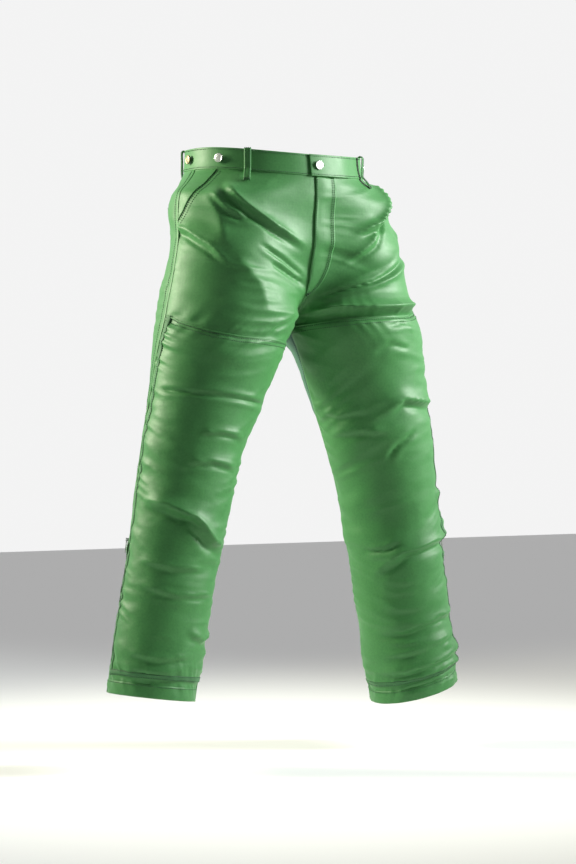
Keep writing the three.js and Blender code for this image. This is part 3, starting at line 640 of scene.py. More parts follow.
# Kind, height, width and path of each fold, with shares as on a leg that isn't turned.
FRONT_FOLDS = {
    "right": [
        ("fold", 11, 15, [(0.34, -40), (0.52, -85), (0.72, -128), (0.97, -165)]),
        ("fold", 6, 12, [(0.30, -62), (0.42, -98), (0.55, -118)]),
        ("ridge", 6, 22, [(0.28, -50), (0.36, -110), (0.40, -170)]),
        ("fold", 7, 15, [(-0.1, -120), (0.12, -138), (0.30, -168), (0.40, -200)]),
        ("crease", 4, 10, [(0.66, -195), (0.82, -215), (0.98, -232)]),
        ("crease", 4, 9, [(0.60, -160), (0.78, -190), (0.97, -222)]),
        ("ridge", 5, 18, [(0.45, -180), (0.52, -235), (0.50, -300)]),
        ("crease", 3, 9, [(0.55, -325), (0.68, -300), (0.88, -262)]),
        ("crease", 4.5, 8, [(0.02, -432), (0.25, -436), (0.55, -440), (0.92, -446)]),
        ("fold", 5, 11, [(0.35, -505), (0.5, -498), (0.68, -503)]),
        ("fold", 6, 13, [(0.30, -560), (0.48, -550), (0.7, -556)]),
        ("fold", 13, 21, [(0.06, -628), (0.25, -636), (0.42, -652), (0.58, -688), (0.8, -702)]),
        ("crease", 5, 9, [(0.32, -655), (0.42, -660), (0.52, -676)]),
        ("fold", 4, 13, [(0.1, -735), (0.35, -742), (0.6, -738)]),
        ("fold", 4, 12, [(0.12, -775), (0.4, -790), (0.75, -778)]),
        ("fold", 5, 14, [(0.5, -852), (0.68, -862), (0.9, -850)]),
        ("fold", 5, 12, [(0.12, -895), (0.35, -902), (0.62, -890)]),
        ("ridge", 4, 12, [(0.1, -920), (0.35, -925), (0.6, -915)]),
    ],
    "left": [
        ("fold", 15, 15, [(0.30, -22), (0.42, -60), (0.58, -112), (0.80, -138)]),
        ("fold", 8, 13, [(0.42, -55), (0.55, -105), (0.66, -150), (0.86, -196)]),
        ("ridge", 7, 16, [(0.10, -95), (0.30, -140), (0.55, -190), (0.96, -250)]),
        ("ridge", 6, 12, [(0.22, -165), (0.5, -215), (0.97, -262)]),
        ("fold", 9, 14, [(-0.05, -118), (0.12, -128), (0.3, -150)]),
        ("crease", 6, 9, [(0.35, -172), (0.62, -225), (0.96, -258)]),
        ("fold", 22, 18, [(0.22, -262), (0.42, -268), (0.66, -274), (0.98, -276)]),
        ("crease", 3, 8, [(0.30, -300), (0.42, -296), (0.52, -306)]),
        ("crease", 3, 9, [(0.4, -345), (0.52, -335), (0.62, -352)]),
        ("fold", 10, 17, [(0.20, -446), (0.34, -438), (0.50, -425), (0.66, -448)]),
        ("fold", 5, 12, [(0.70, -430), (0.84, -436), (0.97, -432)]),
        ("fold", 5, 12, [(0.62, -470), (0.80, -462), (0.97, -464)]),
        ("crease", 4, 9, [(0.45, -480), (0.60, -500), (0.68, -520)]),
        ("fold", 5, 14, [(0.35, -600), (0.22, -612), (0.12, -606)]),
        ("fold", 13, 19, [(0.10, -690), (0.25, -690), (0.45, -688), (0.66, -690), (0.90, -725)]),
        ("ridge", 9, 18, [(0.06, -640), (0.16, -662), (0.28, -672)]),
        ("crease", 5, 9, [(0.66, -672), (0.76, -682), (0.92, -676)]),
        ("fold", 6, 12, [(0.08, -735), (0.18, -726), (0.30, -730)]),
        ("ridge", 6, 16, [(0.10, -820), (0.16, -790), (0.24, -770)]),
        ("fold", 6, 14, [(0.25, -835), (0.45, -828), (0.70, -836), (0.94, -832)]),
        ("fold", 4, 13, [(0.35, -870), (0.55, -874), (0.9, -880)]),
        ("fold", 8, 14, [(0.10, -905), (0.40, -905), (0.75, -912), (0.96, -908)]),
        ("fold", 6, 11, [(0.10, -930), (0.45, -926), (0.92, -930)]),
        ("crease", 4, 8, [(0.12, -952), (0.45, -950), (0.9, -952)]),
    ],
}
BACK_FOLDS = [
    ("fold", 7, 16, [(0.15, -255), (0.45, -285), (0.75, -300), (0.98, -285)]),
    ("fold", 5, 14, [(0.25, -300), (0.55, -330), (0.9, -325)]),
    ("crease", 5, 12, [(0.6, -150), (0.8, -205), (0.97, -250)]),
    ("crease", 4, 12, [(0.3, -60), (0.5, -120), (0.62, -180)]),
    ("fold", 8, 15, [(0.08, -535), (0.4, -548), (0.85, -540)]),
    ("fold", 10, 16, [(0.06, -580), (0.45, -594), (0.92, -585)]),
    ("fold", 8, 15, [(0.1, -628), (0.5, -640), (0.88, -630)]),
    ("fold", 5, 14, [(0.15, -720), (0.5, -735), (0.9, -722)]),
    ("fold", 5, 14, [(0.1, -820), (0.5, -842), (0.9, -826)]),
    ("fold", 7, 13, [(0.1, -905), (0.5, -915), (0.9, -905)]),
    ("fold", 5, 11, [(0.1, -938), (0.5, -942), (0.9, -936)]),
]
SEED = {"right": 11, "left": 47}


def wander(cloth, seed, strength):
    """Soft creases that run mostly across the panel, as pulled cloth does."""
    u, v = cloth.share * ROW_WIDTH, cloth.level
    tilt = v + 0.25 * u * patchy(u, v, 160, 180, seed)
    broad = patchy(u, tilt, 120, 34, seed + 1) * 2.4
    sharp = 0.5 - np.abs(patchy(u, tilt, 85, 21, seed + 2)) * 1.6
    narrow = sharp * 2.4 * (0.25 + 0.75 * np.abs(patchy(u, v, 90, 90, seed + 3)))
    return (broad + narrow) * strength


def pucker(distance, run, seed, height, reach=13, pitch=15):
    """Short creases square to a seam, strongest beside it."""
    wave = 0.7 - 2 * np.abs(patchy(run + distance * 0.45, distance * 0.3, pitch, 60, seed))
    return height * wave * np.exp(-np.abs(distance) / reach) * smooth(np.abs(distance), 2, 12)


def ends_fade(level):
    """Folds fade out towards the hem and the waistband."""
    return smooth(level, HEM - 30, HEM + 40) * smooth(-level, 18, 48)


def front_skin(side):
    """The outermost cloth of one front, with how far each point lies inside the edges of the guard."""
    at_edge = np.linspace(0, GUARD_EDGE, EDGE_COLUMNS + 1)
    columns = np.r_[at_edge, np.linspace(GUARD_EDGE, 1, FRONT_COLUMNS + 1)[1:]]
    upper, guard, last = (np.linspace(0, 1, rows + 1)[:, None] for rows in (UPPER_ROWS, GUARD_ROWS, HEM_ROWS))
    top = guard_top(side, columns)[None, :]
    level = np.concatenate([
        mix(BAND_BOTTOM + 1.5, top, upper[:-1]),
        mix(top, GUARD_BOTTOM, guard[:-1]),
        mix(GUARD_BOTTOM, HEM, last) + 0 * top,
    ])
    start = zip_edge(level, side)
    edge = guard_edge(level)
    within = (columns - GUARD_EDGE) / (1 - GUARD_EDGE)
    share = np.where(columns < GUARD_EDGE, mix(start, edge, columns / GUARD_EDGE), mix(edge, 1, within))
    inside = np.minimum.reduce([
        top - level, level - GUARD_BOTTOM, (share - edge) * ROW_WIDTH, (1 - share) * ROW_WIDTH + 6,
    ])
    lift = np.where(inside >= 0, 1.2 + 6.4 * (1 - np.exp(-np.maximum(inside, 0) / 17)), 0)
    skin = Cloth(surface(share, level, lift, True, side), share, level, FACING[side])
    fade = ends_fade(level) * smooth(share, 0, 0.04) * (1 - 0.75 * smooth(share, 0.94, 1))
    fade += 0.15 * (1 - smooth(share, 0, 0.1))
    folds = folded(skin, FRONT_FOLDS[side], leg_row(skin.level, side)["turn"])
    skin = skin.lifted((folds + wander(skin, SEED[side], 1.0)) * fade).fine()
    return skin, refined(inside[..., None])[..., 0]


def dress_front(side):
    """Puckers beside the guard's seams, the outer seam and the zip."""
    skin, inside = front_skin(side)
    u, seed = skin.share * ROW_WIDTH, SEED[side] + 20
    below = guard_top(side, skin.share) - skin.level
    on_leg = smooth(-skin.level, 270, 300)
    in_guard = smooth(inside, 0, 2)
    height = pucker(u - guard_edge(skin.level) * ROW_WIDTH, skin.level, seed, 3.4, 26, 15) * on_leg
    height += pucker(below, u, seed + 1, 2.6, 18, 14)
    height += pucker(skin.level - GUARD_BOTTOM, u, seed + 2, 2.6, 18, 16) * smooth(u, 20, 40)
    height += pucker((1 - skin.share) * ROW_WIDTH, skin.level, seed + 3, 3.2, 28, 18) * on_leg
    height += pucker(u, skin.level, seed + 4, 1.2, 9, 12) * smooth(-skin.level, 60, 120)
    height += patchy(u, skin.level, 16, 9, seed + 5) * 0.28 * (0.4 + 0.6 * in_guard)
    keep = smooth(u, 0, 5) * smooth((1 - skin.share) * ROW_WIDTH, 0, 5)
    return skin.lifted(height * keep), inside


def back_skin(side):
    down, columns = unit_grid(UPPER_ROWS + GUARD_ROWS + HEM_ROWS + 1, 46)
    level = mix(BAND_BOTTOM + 1.5, HEM, down) + 0 * columns
    share = mix(zip_edge(level, side), 1, columns)
    skin = Cloth(surface(share, level, 0, False, side), share, level, -FACING[side])
    fade = ends_fade(level) * smooth(share, 0, 0.06) * (1 - smooth(share, 0.94, 1))
    skin = skin.lifted((folded(skin, BACK_FOLDS) + wander(skin, SEED[side] + 7, 1.1)) * fade).fine()
    u, seed = skin.share * ROW_WIDTH, SEED[side] + 30
    height = pucker(u, skin.level, seed, 1.6, 12, 14)
    height += pucker(ROW_WIDTH - u, skin.level, seed + 1, 1.6, 12, 14)
    height += patchy(u, skin.level, 16, 10, seed + 2) * 0.3
    return skin.lifted(height * smooth(u, 0, 5) * smooth(ROW_WIDTH - u, 0, 5))


def bend(piece):
    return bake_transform(piece)


def panels(side):
    """The two cloth panels, the guard's cover and its padding, and everything sewn along them."""
    skin, inside = dress_front(side)
    back = back_skin(side)
    push = np.where(inside > 0, 0.5 + 7.5 * smooth(inside, 2, 26), 0)
    front = skin.lifted(-push)
    piece = shell(f"{side}_front_cloth", front, 0.9, "shell")
    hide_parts(f"{side}_front_panel", f"{side}_front_panel_below_knee")
    bend(piece)
    piece = shell(f"{side}_back_cloth", back, 0.9, "back")
    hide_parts(f"{side}_back_panel", f"{side}_back_panel_below_knee", f"{side}_knee_fold")
    bend(piece)

    rows = slice(2 * UPPER_ROWS, 2 * (UPPER_ROWS + GUARD_ROWS) + 1)
    cover = skin.part(rows, slice(2 * EDGE_COLUMNS, None))
    piece = shell(f"{side}_guard_cover", cover, 0.8, "shell", outer=0.9)
    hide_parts(f"{side}_guard_cover_thigh", f"{side}_guard_cover_shin")
    bend(piece)
    rows = slice(rows.start + 8, rows.stop - 8)
    inner = skin.part(rows, slice(2 * EDGE_COLUMNS + 6, -6))
    piece = shell(f"{side}_guard_padding", inner, 4.2, "padding", outer=-0.6)
    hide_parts(f"{side}_guard_padding_thigh", f"{side}_guard_padding_shin")
    bend(piece)
    sew_guard(side, skin)
    sew_seams(side, skin, back)
    hem(side, skin, back)
    return skin, back


def sew_guard(side, skin):
    across = np.linspace(float(guard_edge(GUARD_TOP[side][0])), 0.995, 90)
    top = guard_top(side, across)
    rim = strip(f"{side}_guard_top_edge", *skin.trace(across, top - 0.5, 0.7), 3.2, 0.9, "shell")
    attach(rim, "root")
    sew(f"{side}_guard_top_stitches", [skin.trace(across, top - drop, 1.0) for drop in (3.6, 9.6)])

    down = np.linspace(float(guard_top(side, guard_edge(GUARD_TOP[side][0]))), GUARD_BOTTOM, 210)
    edge = guard_edge(down)
    path = skin.trace(edge + 4.5 / ROW_WIDTH, down, 0.8)
    # the side binding's darker colour is partly painted shade along the guard's outer edge
    binding = strip(f"{side}_guard_side_binding", *path, 9.5, 0.9, "binding")
    bend(binding)
    paths = [skin.trace(edge + step / ROW_WIDTH, down, lift) for step, lift in ((1.2, 1.5), (8.2, 1.6))]
    bend(stitches(f"{side}_guard_side_stitches", paths))

    across = np.linspace(GUARD_EDGE, 0.995, 90)
    path = skin.trace(across, GUARD_BOTTOM + 4.5, 0.8)
    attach(strip(f"{side}_guard_lower_binding", *path, 9.5, 0.9, "binding"), f"{side}_shin")
    paths = [skin.trace(across, GUARD_BOTTOM + step, 1.6) for step in (1.2, 8.2)]
    sew(f"{side}_guard_lower_stitches", paths, f"{side}_shin")


def between(skin, back, share, levels, lift=0.0):
    """The path halfway between a front and a back, sunk a little into the seam."""
    a, out_a = skin.trace(share, levels, lift)
    b, out_b = back.trace(share, levels, lift)
    out = unit(out_a + out_b)
    return (a + b) / 2 - out * 0.2 * MM, out


def sew_seams(side, skin, back):
    """The felled outer seam, down to the zip, then each side of it, and the inseam."""
    down = np.linspace(BAND_BOTTOM, LEG_ZIP_TOP + ZIP_OPENING, 160)
    bend(strip(f"{side}_outer_seam", *between(skin, back, 0.004, down), 8, 0.9, "shell", 0.5))
    full = np.linspace(BAND_BOTTOM, HEM + 4, 240)
    path = back.trace(8.5 / ROW_WIDTH + zip_edge(full, side), full, 0.3)
    bend(stitches(f"{side}_outer_seam_stitches", [path], "back_thread_with_painted_seam_shade"))
    inside = np.linspace(CROTCH - 14, HEM + 4, 190)
    bend(strip(f"{side}_inseam", *between(skin, back, 0.997, inside, 0.2), 6.5, 0.9, "shell", 0.5))
    path = back.trace(1 - 8 / ROW_WIDTH, inside, 0.3)
    bend(stitches(f"{side}_inseam_stitches", [path], "back_thread_with_painted_seam_shade"))


def hem(side, skin, back):
    """The doubled hem, open at the zip."""
    across, levels = np.linspace(0.004, 0.996, 70), HEM + HEM_BAND * np.linspace(1, 0, 8)
    rings = []
    for level in levels:
        ahead, behind = skin.trace(across, level), back.trace(across[::-1], level)
        rings.append([np.concatenate(pair) for pair in zip(ahead, behind)])
    points, normals = np.array(rings).swapaxes(0, 1)
    share = np.broadcast_to(np.linspace(0, 2, 140), points.shape[:2])
    band = Cloth(points + normals * (0.55 * MM), share, levels[:, None] + 0 * share, FACING[side])
    piece = shell(f"{side}_hem", band, 2.4, "shell")
    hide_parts(f"{side}_hem_band")
    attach(piece, f"{side}_shin")
    sew(f"{side}_hem_stitches", [(points[1] + normals[1] * 0.7 * MM, normals[1])], f"{side}_shin")


SKIN = {side: panels(side) for side in SIDES}

# ---------------------------------------------------------------- waistband

BAND_LIFT, BAND_THICK, RAISED = 1.6, 2.8, 4.0
LAP_FROM, LAP_TO = 0.62, 0.8
TAB_END, UNDER_END = 17, 26


def half_girth(level):
    return along(TORSO, level, 1) * math.pi / 2


def band_point(turn, level, side, extra=0.0):
    """Turn runs from 0 at the middle of the back, by 1 at the side, to 2 past the front's middle."""
    turn, level = np.broadcast_arrays(np.asarray(turn, float), np.asarray(level, float))
    end = 1 + (TAB_END if side == "left" else UNDER_END) / half_girth(level)
    share = np.where(turn > 1, (turn - 1) * end, 1 - turn)
    past = smooth(share, LAP_FROM, LAP_TO) * (turn > 1)
    lift = BAND_LIFT + extra + (past * RAISED if side == "left" else 0)
    over = share > 1
    folded_share = np.where(over, 2 - share, share)
    front = surface(folded_share, level, lift, True, side)
    front[..., 0] = np.where(over, -front[..., 0], front[..., 0])
    behind = surface(folded_share, level, lift, False, side)
    return np.where((turn > 1)[..., None], front, behind)


def waistband(side):
    turn = np.linspace(0.002, 2, 150)[None, :]
    level = np.linspace(BAND_TOP, BAND_BOTTOM, 16)[:, None]
    ripple = patchy(turn * 280, level, 34, 26, 5 if side == "left" else 8) * 0.5
    band = Cloth(band_point(turn, level, side, ripple), *np.broadcast_arrays(turn, level), FACING[side])
    piece = shell(f"{side}_band", band, BAND_THICK, "shell")
    edge = piece.modifiers.new("soft edge", "BEVEL")
    edge.width, edge.segments, edge.limit_method = 0.0009, 3, "ANGLE"
    edge.angle_limit = math.radians(50)
    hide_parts(f"{side}_waistband")
    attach(piece, "root")
    run = np.linspace(0.01, 1.99, 260)
    paths = []
    for height in (16.6, -16.8):
        path = band_point(run, height, side, 0.35)
        paths.append((path, unit(band_point(run, height, side, 1.35) - path)))
    sew(f"{side}_band_stitches", paths)


for side in SIDES:
    waistband(side)


def band_place(side, degrees, lift):
    """Origin, and the outward, upward and sideways directions, at an angle from the side: back is below 0."""
    front, share = degrees >= 0, abs(degrees) / 90
    step = 0.002
    origin = surface(share, 0, lift, front, side)
    last = surface(min(share + step, 1), 0, lift, front, side)
    first = surface(max(share - step, 0), 0, lift, front, side)
    ahead = last - first
    outward = unit(np.array([ahead[1], -ahead[0], 0]))
    if outward @ origin < 0:
        outward = -outward
    up = np.array([0, 0, 1.0])
    return origin, outward, up, np.cross(up, outward)


BELT_LOOPS = {"front": 45, "back": -40}
LOOP_WIDTH, LOOP_CLOTH, LOOP_SEAT = 13, 1.5, 2.8


def belt_loop(name, place, side, share, front):
    origin, outward, up, aside = place
    foot = surface(share, BAND_BOTTOM - 18, LOOP_SEAT, front, side) - origin
    flare = float(foot @ outward) / MM
    corners = [(0.2, 18.6), (1.6, 19.4), (4.8, 19.2), (6.3, 17.6), (6.6, 14), (6.3, 4), (6.4, -8), (6.5, -17)]
    corners += [(mix(6.5, flare, 0.5) + 0.6, -26), (flare + 0.3, -35.5), (flare + 0.2, -38.2)]
    line = np.array([origin + outward * a * MM + up * b * MM for a, b in corners])
    for _ in range(2):
        line = refined(line[:, None, :])[:, 0]
    normal = unit(np.cross(np.gradient(line, axis=0), aside))
    if normal[len(normal) // 2] @ outward < 0:
        normal = -normal
    piece = strip(f"{name}_strap", line, normal, LOOP_WIDTH, LOOP_CLOTH, "shell", 0.25)
    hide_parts(name)
    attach(piece, "root")
    paths = [(line + aside * a * MM + normal * 1.5 * MM, normal) for a in (-4.3, 4.3)]
    for start in (int(len(line) * 0.13), int(len(line) * 0.9)):
        for k in range(start, start + 5):
            k = min(k, len(line) - 1)
            row = np.array([line[k] + aside * a * MM + normal[k] * 1.7 * MM for a in np.linspace(-5, 5, 6)])
            paths.append((row, np.repeat(normal[None, k], 6, 0)))
    sew(f"{name}_stitches", paths, pitch=2.4, length=2.1)


for side in SIDES:
    for where, degrees in BELT_LOOPS.items():
        place = band_place(side, degrees, BAND_LIFT + 1.2)
        belt_loop(f"belt_loop_{side}_{where}", place, side, abs(degrees) / 90, degrees > 0)
middle_back = surface(1, 0, BAND_LIFT + 1.2, False, "right")
back_place = (middle_back * [0, 1, 1], np.array([0, 1.0, 0]), np.array([0, 0, 1.0]), np.array([-1.0, 0, 0]))
belt_loop("belt_loop_middle_back", back_place, "right", 1.0, False)

# ---------------------------------------------------------------- buttons


def lathe(name, profile, place, material, sides=48):
    """A turned piece: profile is (out, radius) from the foot to the top, in millimetres."""
    origin, outward, up, aside = place
    angles = np.linspace(0, 2 * math.pi, sides, endpoint=False)
    vertices = [
        origin + outward * out * MM + (up * math.cos(a) + aside * math.sin(a)) * radius * MM
        for out, radius in profile
        for a in angles
    ]
    faces = [
        [i * sides + j, i * sides + (j + 1) % sides, (i + 1) * sides + (j + 1) % sides, (i + 1) * sides + j]
        for i in range(len(profile) - 1)
        for j in range(sides)
    ]
    faces += [list(range(sides)), list(range((len(profile) - 1) * sides, len(profile) * sides))]
    piece = mesh_piece(name, vertices, faces, material)
    consistent(piece)
    crisp = piece.modifiers.new("crisp edges", "EDGE_SPLIT")
    crisp.split_angle = math.radians(50)
    return piece


def cap_profile(foot, rise):
    """A tack button: shank, rolled rim, a sunk ring and a slightly domed middle."""
    base = foot + rise
    return [
        (foot, 2.6), (foot, 3.0), (base, 3.0), (base, 6.8), (base + 0.3, 8.0), (base + 1.0, 8.5),
        (base + 1.8, 8.5), (base + 2.5, 8.2), (base + 2.9, 7.6), (base + 2.95, 7.0), (base + 2.6, 6.5),
        (base + 2.55, 5.9), (base + 2.9, 5.4), (base + 3.0, 4.6), (base + 3.05, 2.4), (base + 3.05, 0.4),
    ]


BRACE_BUTTONS = {"front": 25, "side": -6, "back": -68}
for side in SIDES:
    for where, degrees in BRACE_BUTTONS.items():
        name = f"brace_button_{side}_{where}"
        place = band_place(side, degrees, BAND_LIFT + 0.5)
        piece = lathe(f"{name}_cap", cap_profile(0, 3), place, "silver" if where == "front" else "brass")
        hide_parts(name)
        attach(piece, name)

front_middle = surface(1, 0, BAND_LIFT, True, "right") * [0, 1, 1]
front_place = (front_middle, np.array([0, -1.0, 0]), np.array([0, 0, 1.0]), np.array([1.0, 0, 0]))
piece = lathe("waist_button_cap", cap_profile(0.6, RAISED + 0.8), front_place, "silver")
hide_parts("waist_button")
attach(piece, "waist_button")


def buttonhole():
    """Close stitches round a slit in the left end of the band, beside the button."""
    turn = np.linspace(0, 2 * math.pi, 60)
    along_slit = 4.0 + 8.5 * np.cos(turn)
    height = 1.9 * np.sign(np.sin(turn)) * np.abs(np.sin(turn)) ** 0.6
    share = np.clip(1 - along_slit / half_girth(0), 0, 0.999)
    lift = BAND_LIFT + RAISED
    points = surface(share, height, lift + 0.3, True, "left")
    points[:, 0] = along_slit * MM
    normal = np.tile([0, -1.0, 0], (60, 1))
    sew("buttonhole_stitches", [(points, normal)], pitch=1.1, length=1.5, radius=0.6)
    run = np.linspace(-3.5, 11.5, 12)
    slit = surface(np.clip(1 - run / half_girth(0), 0, 0.999), 0, lift + 0.05, True, "left")
    slit[:, 0] = run * MM
    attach(strip("buttonhole_slit", slit, normal[:12], 1.2, 0.25, "tape"), "root")


buttonhole()

# ---------------------------------------------------------------- fly, pockets and zips

FLY_EDGE, FLY_ZIP, FLY_STITCH, FLY_BOTTOM, FLY_TOP, FLY_DEPTH = -6, 16, 39, -232, -36, 7.6
FACING_BOTTOM = -250


def front_trace(distance, level, lift):
    """Points near the middle of the front, by their distance to the wearer's left of it."""
    distance, level, lift = np.broadcast_arrays(*(np.asarray(v, float) for v in (distance, level, lift)))
    share = np.clip(1 - np.abs(distance) / half_girth(level), 0, 1)
    (left, left_out), (right, right_out) = (SKIN[side][0].trace(share, level) for side in ("left", "right"))
    mine = (distance >= 0)[..., None]
    out = np.where(mine, left, right)
    normal = np.where(mine, left_out, right_out)
    return out + normal * lift[..., None] * MM, normal


def fly():
    down, across = unit_grid(60, 22)
    level = mix(BAND_BOTTOM - 1, FACING_BOTTOM, down)
    curl = FLY_STITCH * np.sqrt(np.clip(1 - np.clip((down - 0.72) / 0.28, 0, 1) ** 2, 0, 1))
    reach = np.maximum(curl, FLY_EDGE + 6)
    distance = mix(FLY_EDGE, reach, across)
    near = smooth(distance, 4, 30)
    lift = mix(2.6, 0.9, near) * (1 - 0.55 * smooth(down, 0.85, 1.0))
    points, _ = front_trace(distance, level, lift)
    facing = Cloth(points, distance / ROW_WIDTH, level + 0 * distance, 1)
    facing = facing.lifted(patchy(distance, level, 20, 26, 77) * 0.5)
    piece = shell("fly_facing_cloth", facing, 0.9, "shell")
    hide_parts("fly_facing")
    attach(piece, "root")
    run = np.linspace(0, 1, 80)
    level = mix(BAND_BOTTOM - 3, FACING_BOTTOM + 2, run)
    curl = (FLY_STITCH - 2.5) * np.sqrt(np.clip(1 - np.clip((run - 0.7) / 0.3, 0, 1) ** 2, 0, 1))
    paths = [front_trace(np.maximum(curl - step, -2), level, 1.25) for step in (0, 4.5)]
    paths.append(front_trace(FLY_EDGE + 3, level, 2.8))
    sew("fly_stitches", paths)
    seam = np.linspace(FACING_BOTTOM + 4, CROTCH + 2, 24)
    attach(strip("front_seam", *front_trace(0, seam, 0.4), 7, 1.0, "shell", 0.4), "root")
    sew("front_seam_stitches", [front_trace(6, seam, 0.7)])
    tack = np.linspace(-3, 5, 6)
    rows = [front_trace(tack, FACING_BOTTOM + 3 + k * 0.8, 1.7) for k in range(5)]
    sew("fly_bar_tack", rows, pitch=2.2, length=2.2)


def centre_back():
    seam = np.linspace(BAND_BOTTOM, CROTCH + 2, 60)
    points, _ = SKIN["right"][1].trace(1.0, seam, 0.3)
    points[:, 0] = 0
    normal = np.tile([0, 1.0, 0], (60, 1))
    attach(strip("seat_seam", points, normal, 8, 1.0, "back", 0.4), "root")
    paths = [SKIN[side][1].trace(1 - 5.5 / half_girth(seam), seam, 0.4) for side in SIDES]
    sew("seat_seam_stitches", paths, material="back_thread_with_painted_seam_shade")


def pockets(side):
    skin = SKIN[side][0]
    run = np.linspace(0, 1, 60)
    share = mix(0.25, 0.02, run ** 1.15)
    level = mix(BAND_BOTTOM - 1, -118, run)
    edge = strip(f"{side}_pocket_mouth", *skin.trace(share, level, 0.2), 3.0, 1.3, "shell")
    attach(edge, "root")
    paths = [skin.trace(share + step / ROW_WIDTH, level - 0.4 * step, 0.1) for step in (4.5, 11.0)]
    sew(f"{side}_pocket_stitches", paths)
    for name, spread, depth, bottom, flat, material in (
        ("pocket_facing", (0.03, 0.32), 4.0, -160, (0.09, 0.14), "shell"),
        ("pocket_bag", (0.05, 0.6), 9.0, -250, (0.16, 0.235), "lining"),
    ):
        v, u = unit_grid(30, 24)
        level = mix(BAND_BOTTOM - 5, bottom, v) + 0 * u
        share = mix(spread[0], spread[1] * (1 - 0.25 * smooth(v, 0.8, 1.0)), u)
        sag = -depth - 1.5 - 2 * patchy(share * ROW_WIDTH, level, 50, 40, 3)
        sheet = Cloth(surface(share, level, sag, True, side), share, level, FACING[side])
        piece = shell(f"{side}_{name}_cloth", sheet, 0.8, material)
        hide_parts(f"{side}_{name}")
        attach(piece, "root")


def hip_pocket():
    skin = SKIN["right"][1]
    v, u = unit_grid(40, 40)
    sag = 10 * smooth(v, 0.75, 1.0) * np.abs(2 * u - 1) ** 3
    level = mix(-78, -200, v) + sag
    outer, inner = 0.34, 0.82
    share = mix(outer, inner, u) + 0 * v
    points, _ = skin.trace(share, level, 1.3)
    piece = shell("hip_pocket_patch", Cloth(points, share, level, -1), 1.0, "back")
    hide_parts("hip_pocket")
    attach(piece, "root")
    t = np.linspace(0, 1, 50)
    paths = []
    for inset in (0.014, 0.034):
        first, last = outer + inset, inner - inset
        paths += [skin.trace(edge, mix(-80, -197, t), 1.6) for edge in (first, last)]
        paths.append(skin.trace(mix(first, last, t), -200 + inset * 240 + 8 * np.abs(2 * t - 1) ** 3, 1.6))
        paths.append(skin.trace(mix(outer, inner, t), -78 - inset * 320, 1.6))
    sew("hip_pocket_stitches", paths, material="back_thread_with_painted_seam_shade")


fly()
centre_back()
for side in SIDES:
    pockets(side)
hip_pocket()


def hexahedra(name, spots, material):
    """Small six-sided teeth: each spot is (centre, three half-edge vectors)."""
    vertices, faces = [], []
    for centre, a, b, c in spots:
        base = len(vertices)
        for i, j, k in itertools.product((-1, 1), repeat=3):
            shrink = 0.7 if i > 0 else 1.0
            vertices.append(centre + a * i + b * j * shrink + c * k * shrink)
        for quad in ((0, 1, 3, 2), (4, 6, 7, 5), (0, 4, 5, 1), (2, 3, 7, 6), (0, 2, 6, 4), (1, 5, 7, 3)):
            faces.append([base + q for q in quad])
    piece = mesh_piece(name, vertices, faces, material, smooth_faces=False)
    consistent(piece)
    return piece


TOOTH_PITCH = 2.0


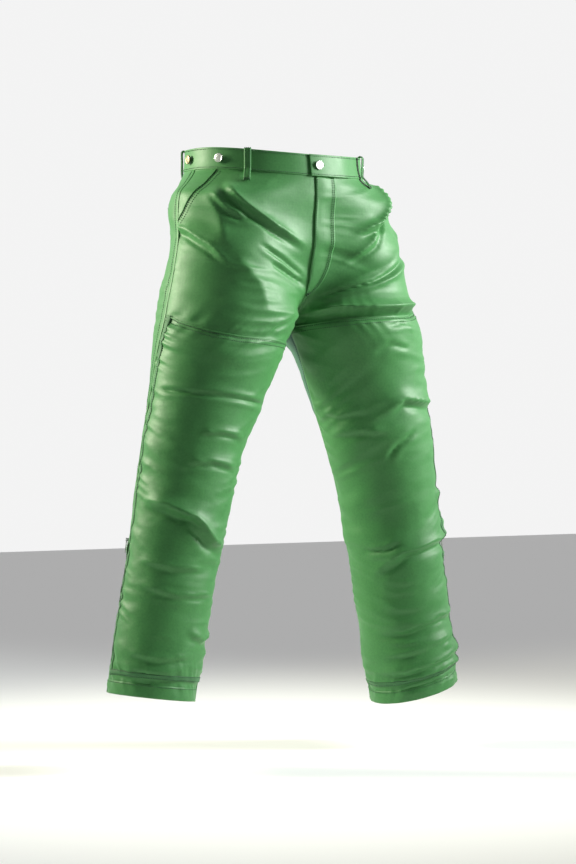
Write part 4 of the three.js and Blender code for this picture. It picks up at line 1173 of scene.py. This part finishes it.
def zipper(prefix, low, high, outward, names, body):
    """Two tapes with their rows of teeth. The slider and pull are the frame's own."""
    up = unit(high - low)
    right = unit(np.cross(up, outward))
    out = np.cross(right, up)
    length = np.linalg.norm(high - low) / MM
    run = np.linspace(-2, length, 120)
    for hand, name in zip((1, -1), names):
        centre = np.array([low + up * t * MM + right * hand * 6.6 * MM for t in run])
        sway = 0.25 * patchy(run, 0 * run, 22, 9, 4)[:, None] * out * MM
        path = centre + sway - out * 0.4 * MM
        tape = strip(f"{prefix}_{name}_tape", path, np.tile(out, (120, 1)), 9.6, 0.8, "tape", 0.1)
        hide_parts(f"{prefix}_{name}_stringer")
        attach(tape, body)
        spots = []
        for k in range(int(length / TOOTH_PITCH)):
            at = (k + (0.5 if hand > 0 else 0)) * TOOTH_PITCH
            middle = low + up * at * MM + right * hand * 1.0 * MM
            spots.append((middle, -right * hand * 0.95 * MM, up * 0.62 * MM, out * 1.15 * MM))
        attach(hexahedra(f"{prefix}_{name}_teeth", spots, "teeth"), body)
    return up, right, out, length


def shield_cloth(name, node, low, up, right, out, start, end, left, wide, body):
    v, u = unit_grid(40, 12)
    along_zip, aside = mix(end, start, v) + 0 * u, mix(left, wide, u) + 0 * v
    depth = -5.6 - 0.4 * patchy(aside, along_zip, 16, 30, 6)
    spread = ((along_zip, up), (aside, right), (depth, out))
    points = low + sum((distance * MM)[..., None] * way for distance, way in spread)
    piece = shell(name, Cloth(points, aside / ROW_WIDTH, along_zip, 1), 0.7, "lining")
    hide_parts(node)
    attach(piece, body)


for side in SIDES:
    sign = 1 if side == "left" else -1
    low = surface(0, LEG_ZIP_BOTTOM, -LEG_ZIP_DEPTH, True, side)
    high = surface(0, LEG_ZIP_TOP - 4, -LEG_ZIP_DEPTH, True, side)
    names = ("front", "back") if side == "right" else ("back", "front")
    body, turn = f"{side}_shin", float(leg_row(LEG_ZIP_TOP, side)["turn"])
    outward = np.array([sign * math.cos(turn), math.sin(turn), 0])
    up, right, out, length = zipper(f"{side}_leg_zip", low, high, outward, names, body)
    reach = (-5, length + 3, -15.5, 15.5)
    shield_cloth(f"{side}_zip_backing", f"{side}_zip_shield", low, up, right, out, *reach, body)

low, high = (
    surface(1 - FLY_ZIP / half_girth(level), level, -FLY_DEPTH, True, "left")
    for level in (FLY_BOTTOM + 18, FLY_TOP - 12)
)
forward = np.array([0, -1.0, 0])
up, right, out, length = zipper("fly_zip", low, high, forward, ("left", "right"), "root")
shield_cloth("fly_backing", "fly_shield", low, up, right, out, 1, length + 9, -27, 12.5, "root")

for name in ("waist_button_tack", "fly_zip_slider", "fly_zip_pull"):
    bpy.data.objects[name].data.materials.clear()
    bpy.data.objects[name].data.materials.append(MATERIALS["brass"])
for side in SIDES:
    for part in ("slider", "pull"):
        node = bpy.data.objects[f"{side}_leg_zip_{part}"]
        for held in node.material_slots:
            held.material = MATERIALS["silver"]
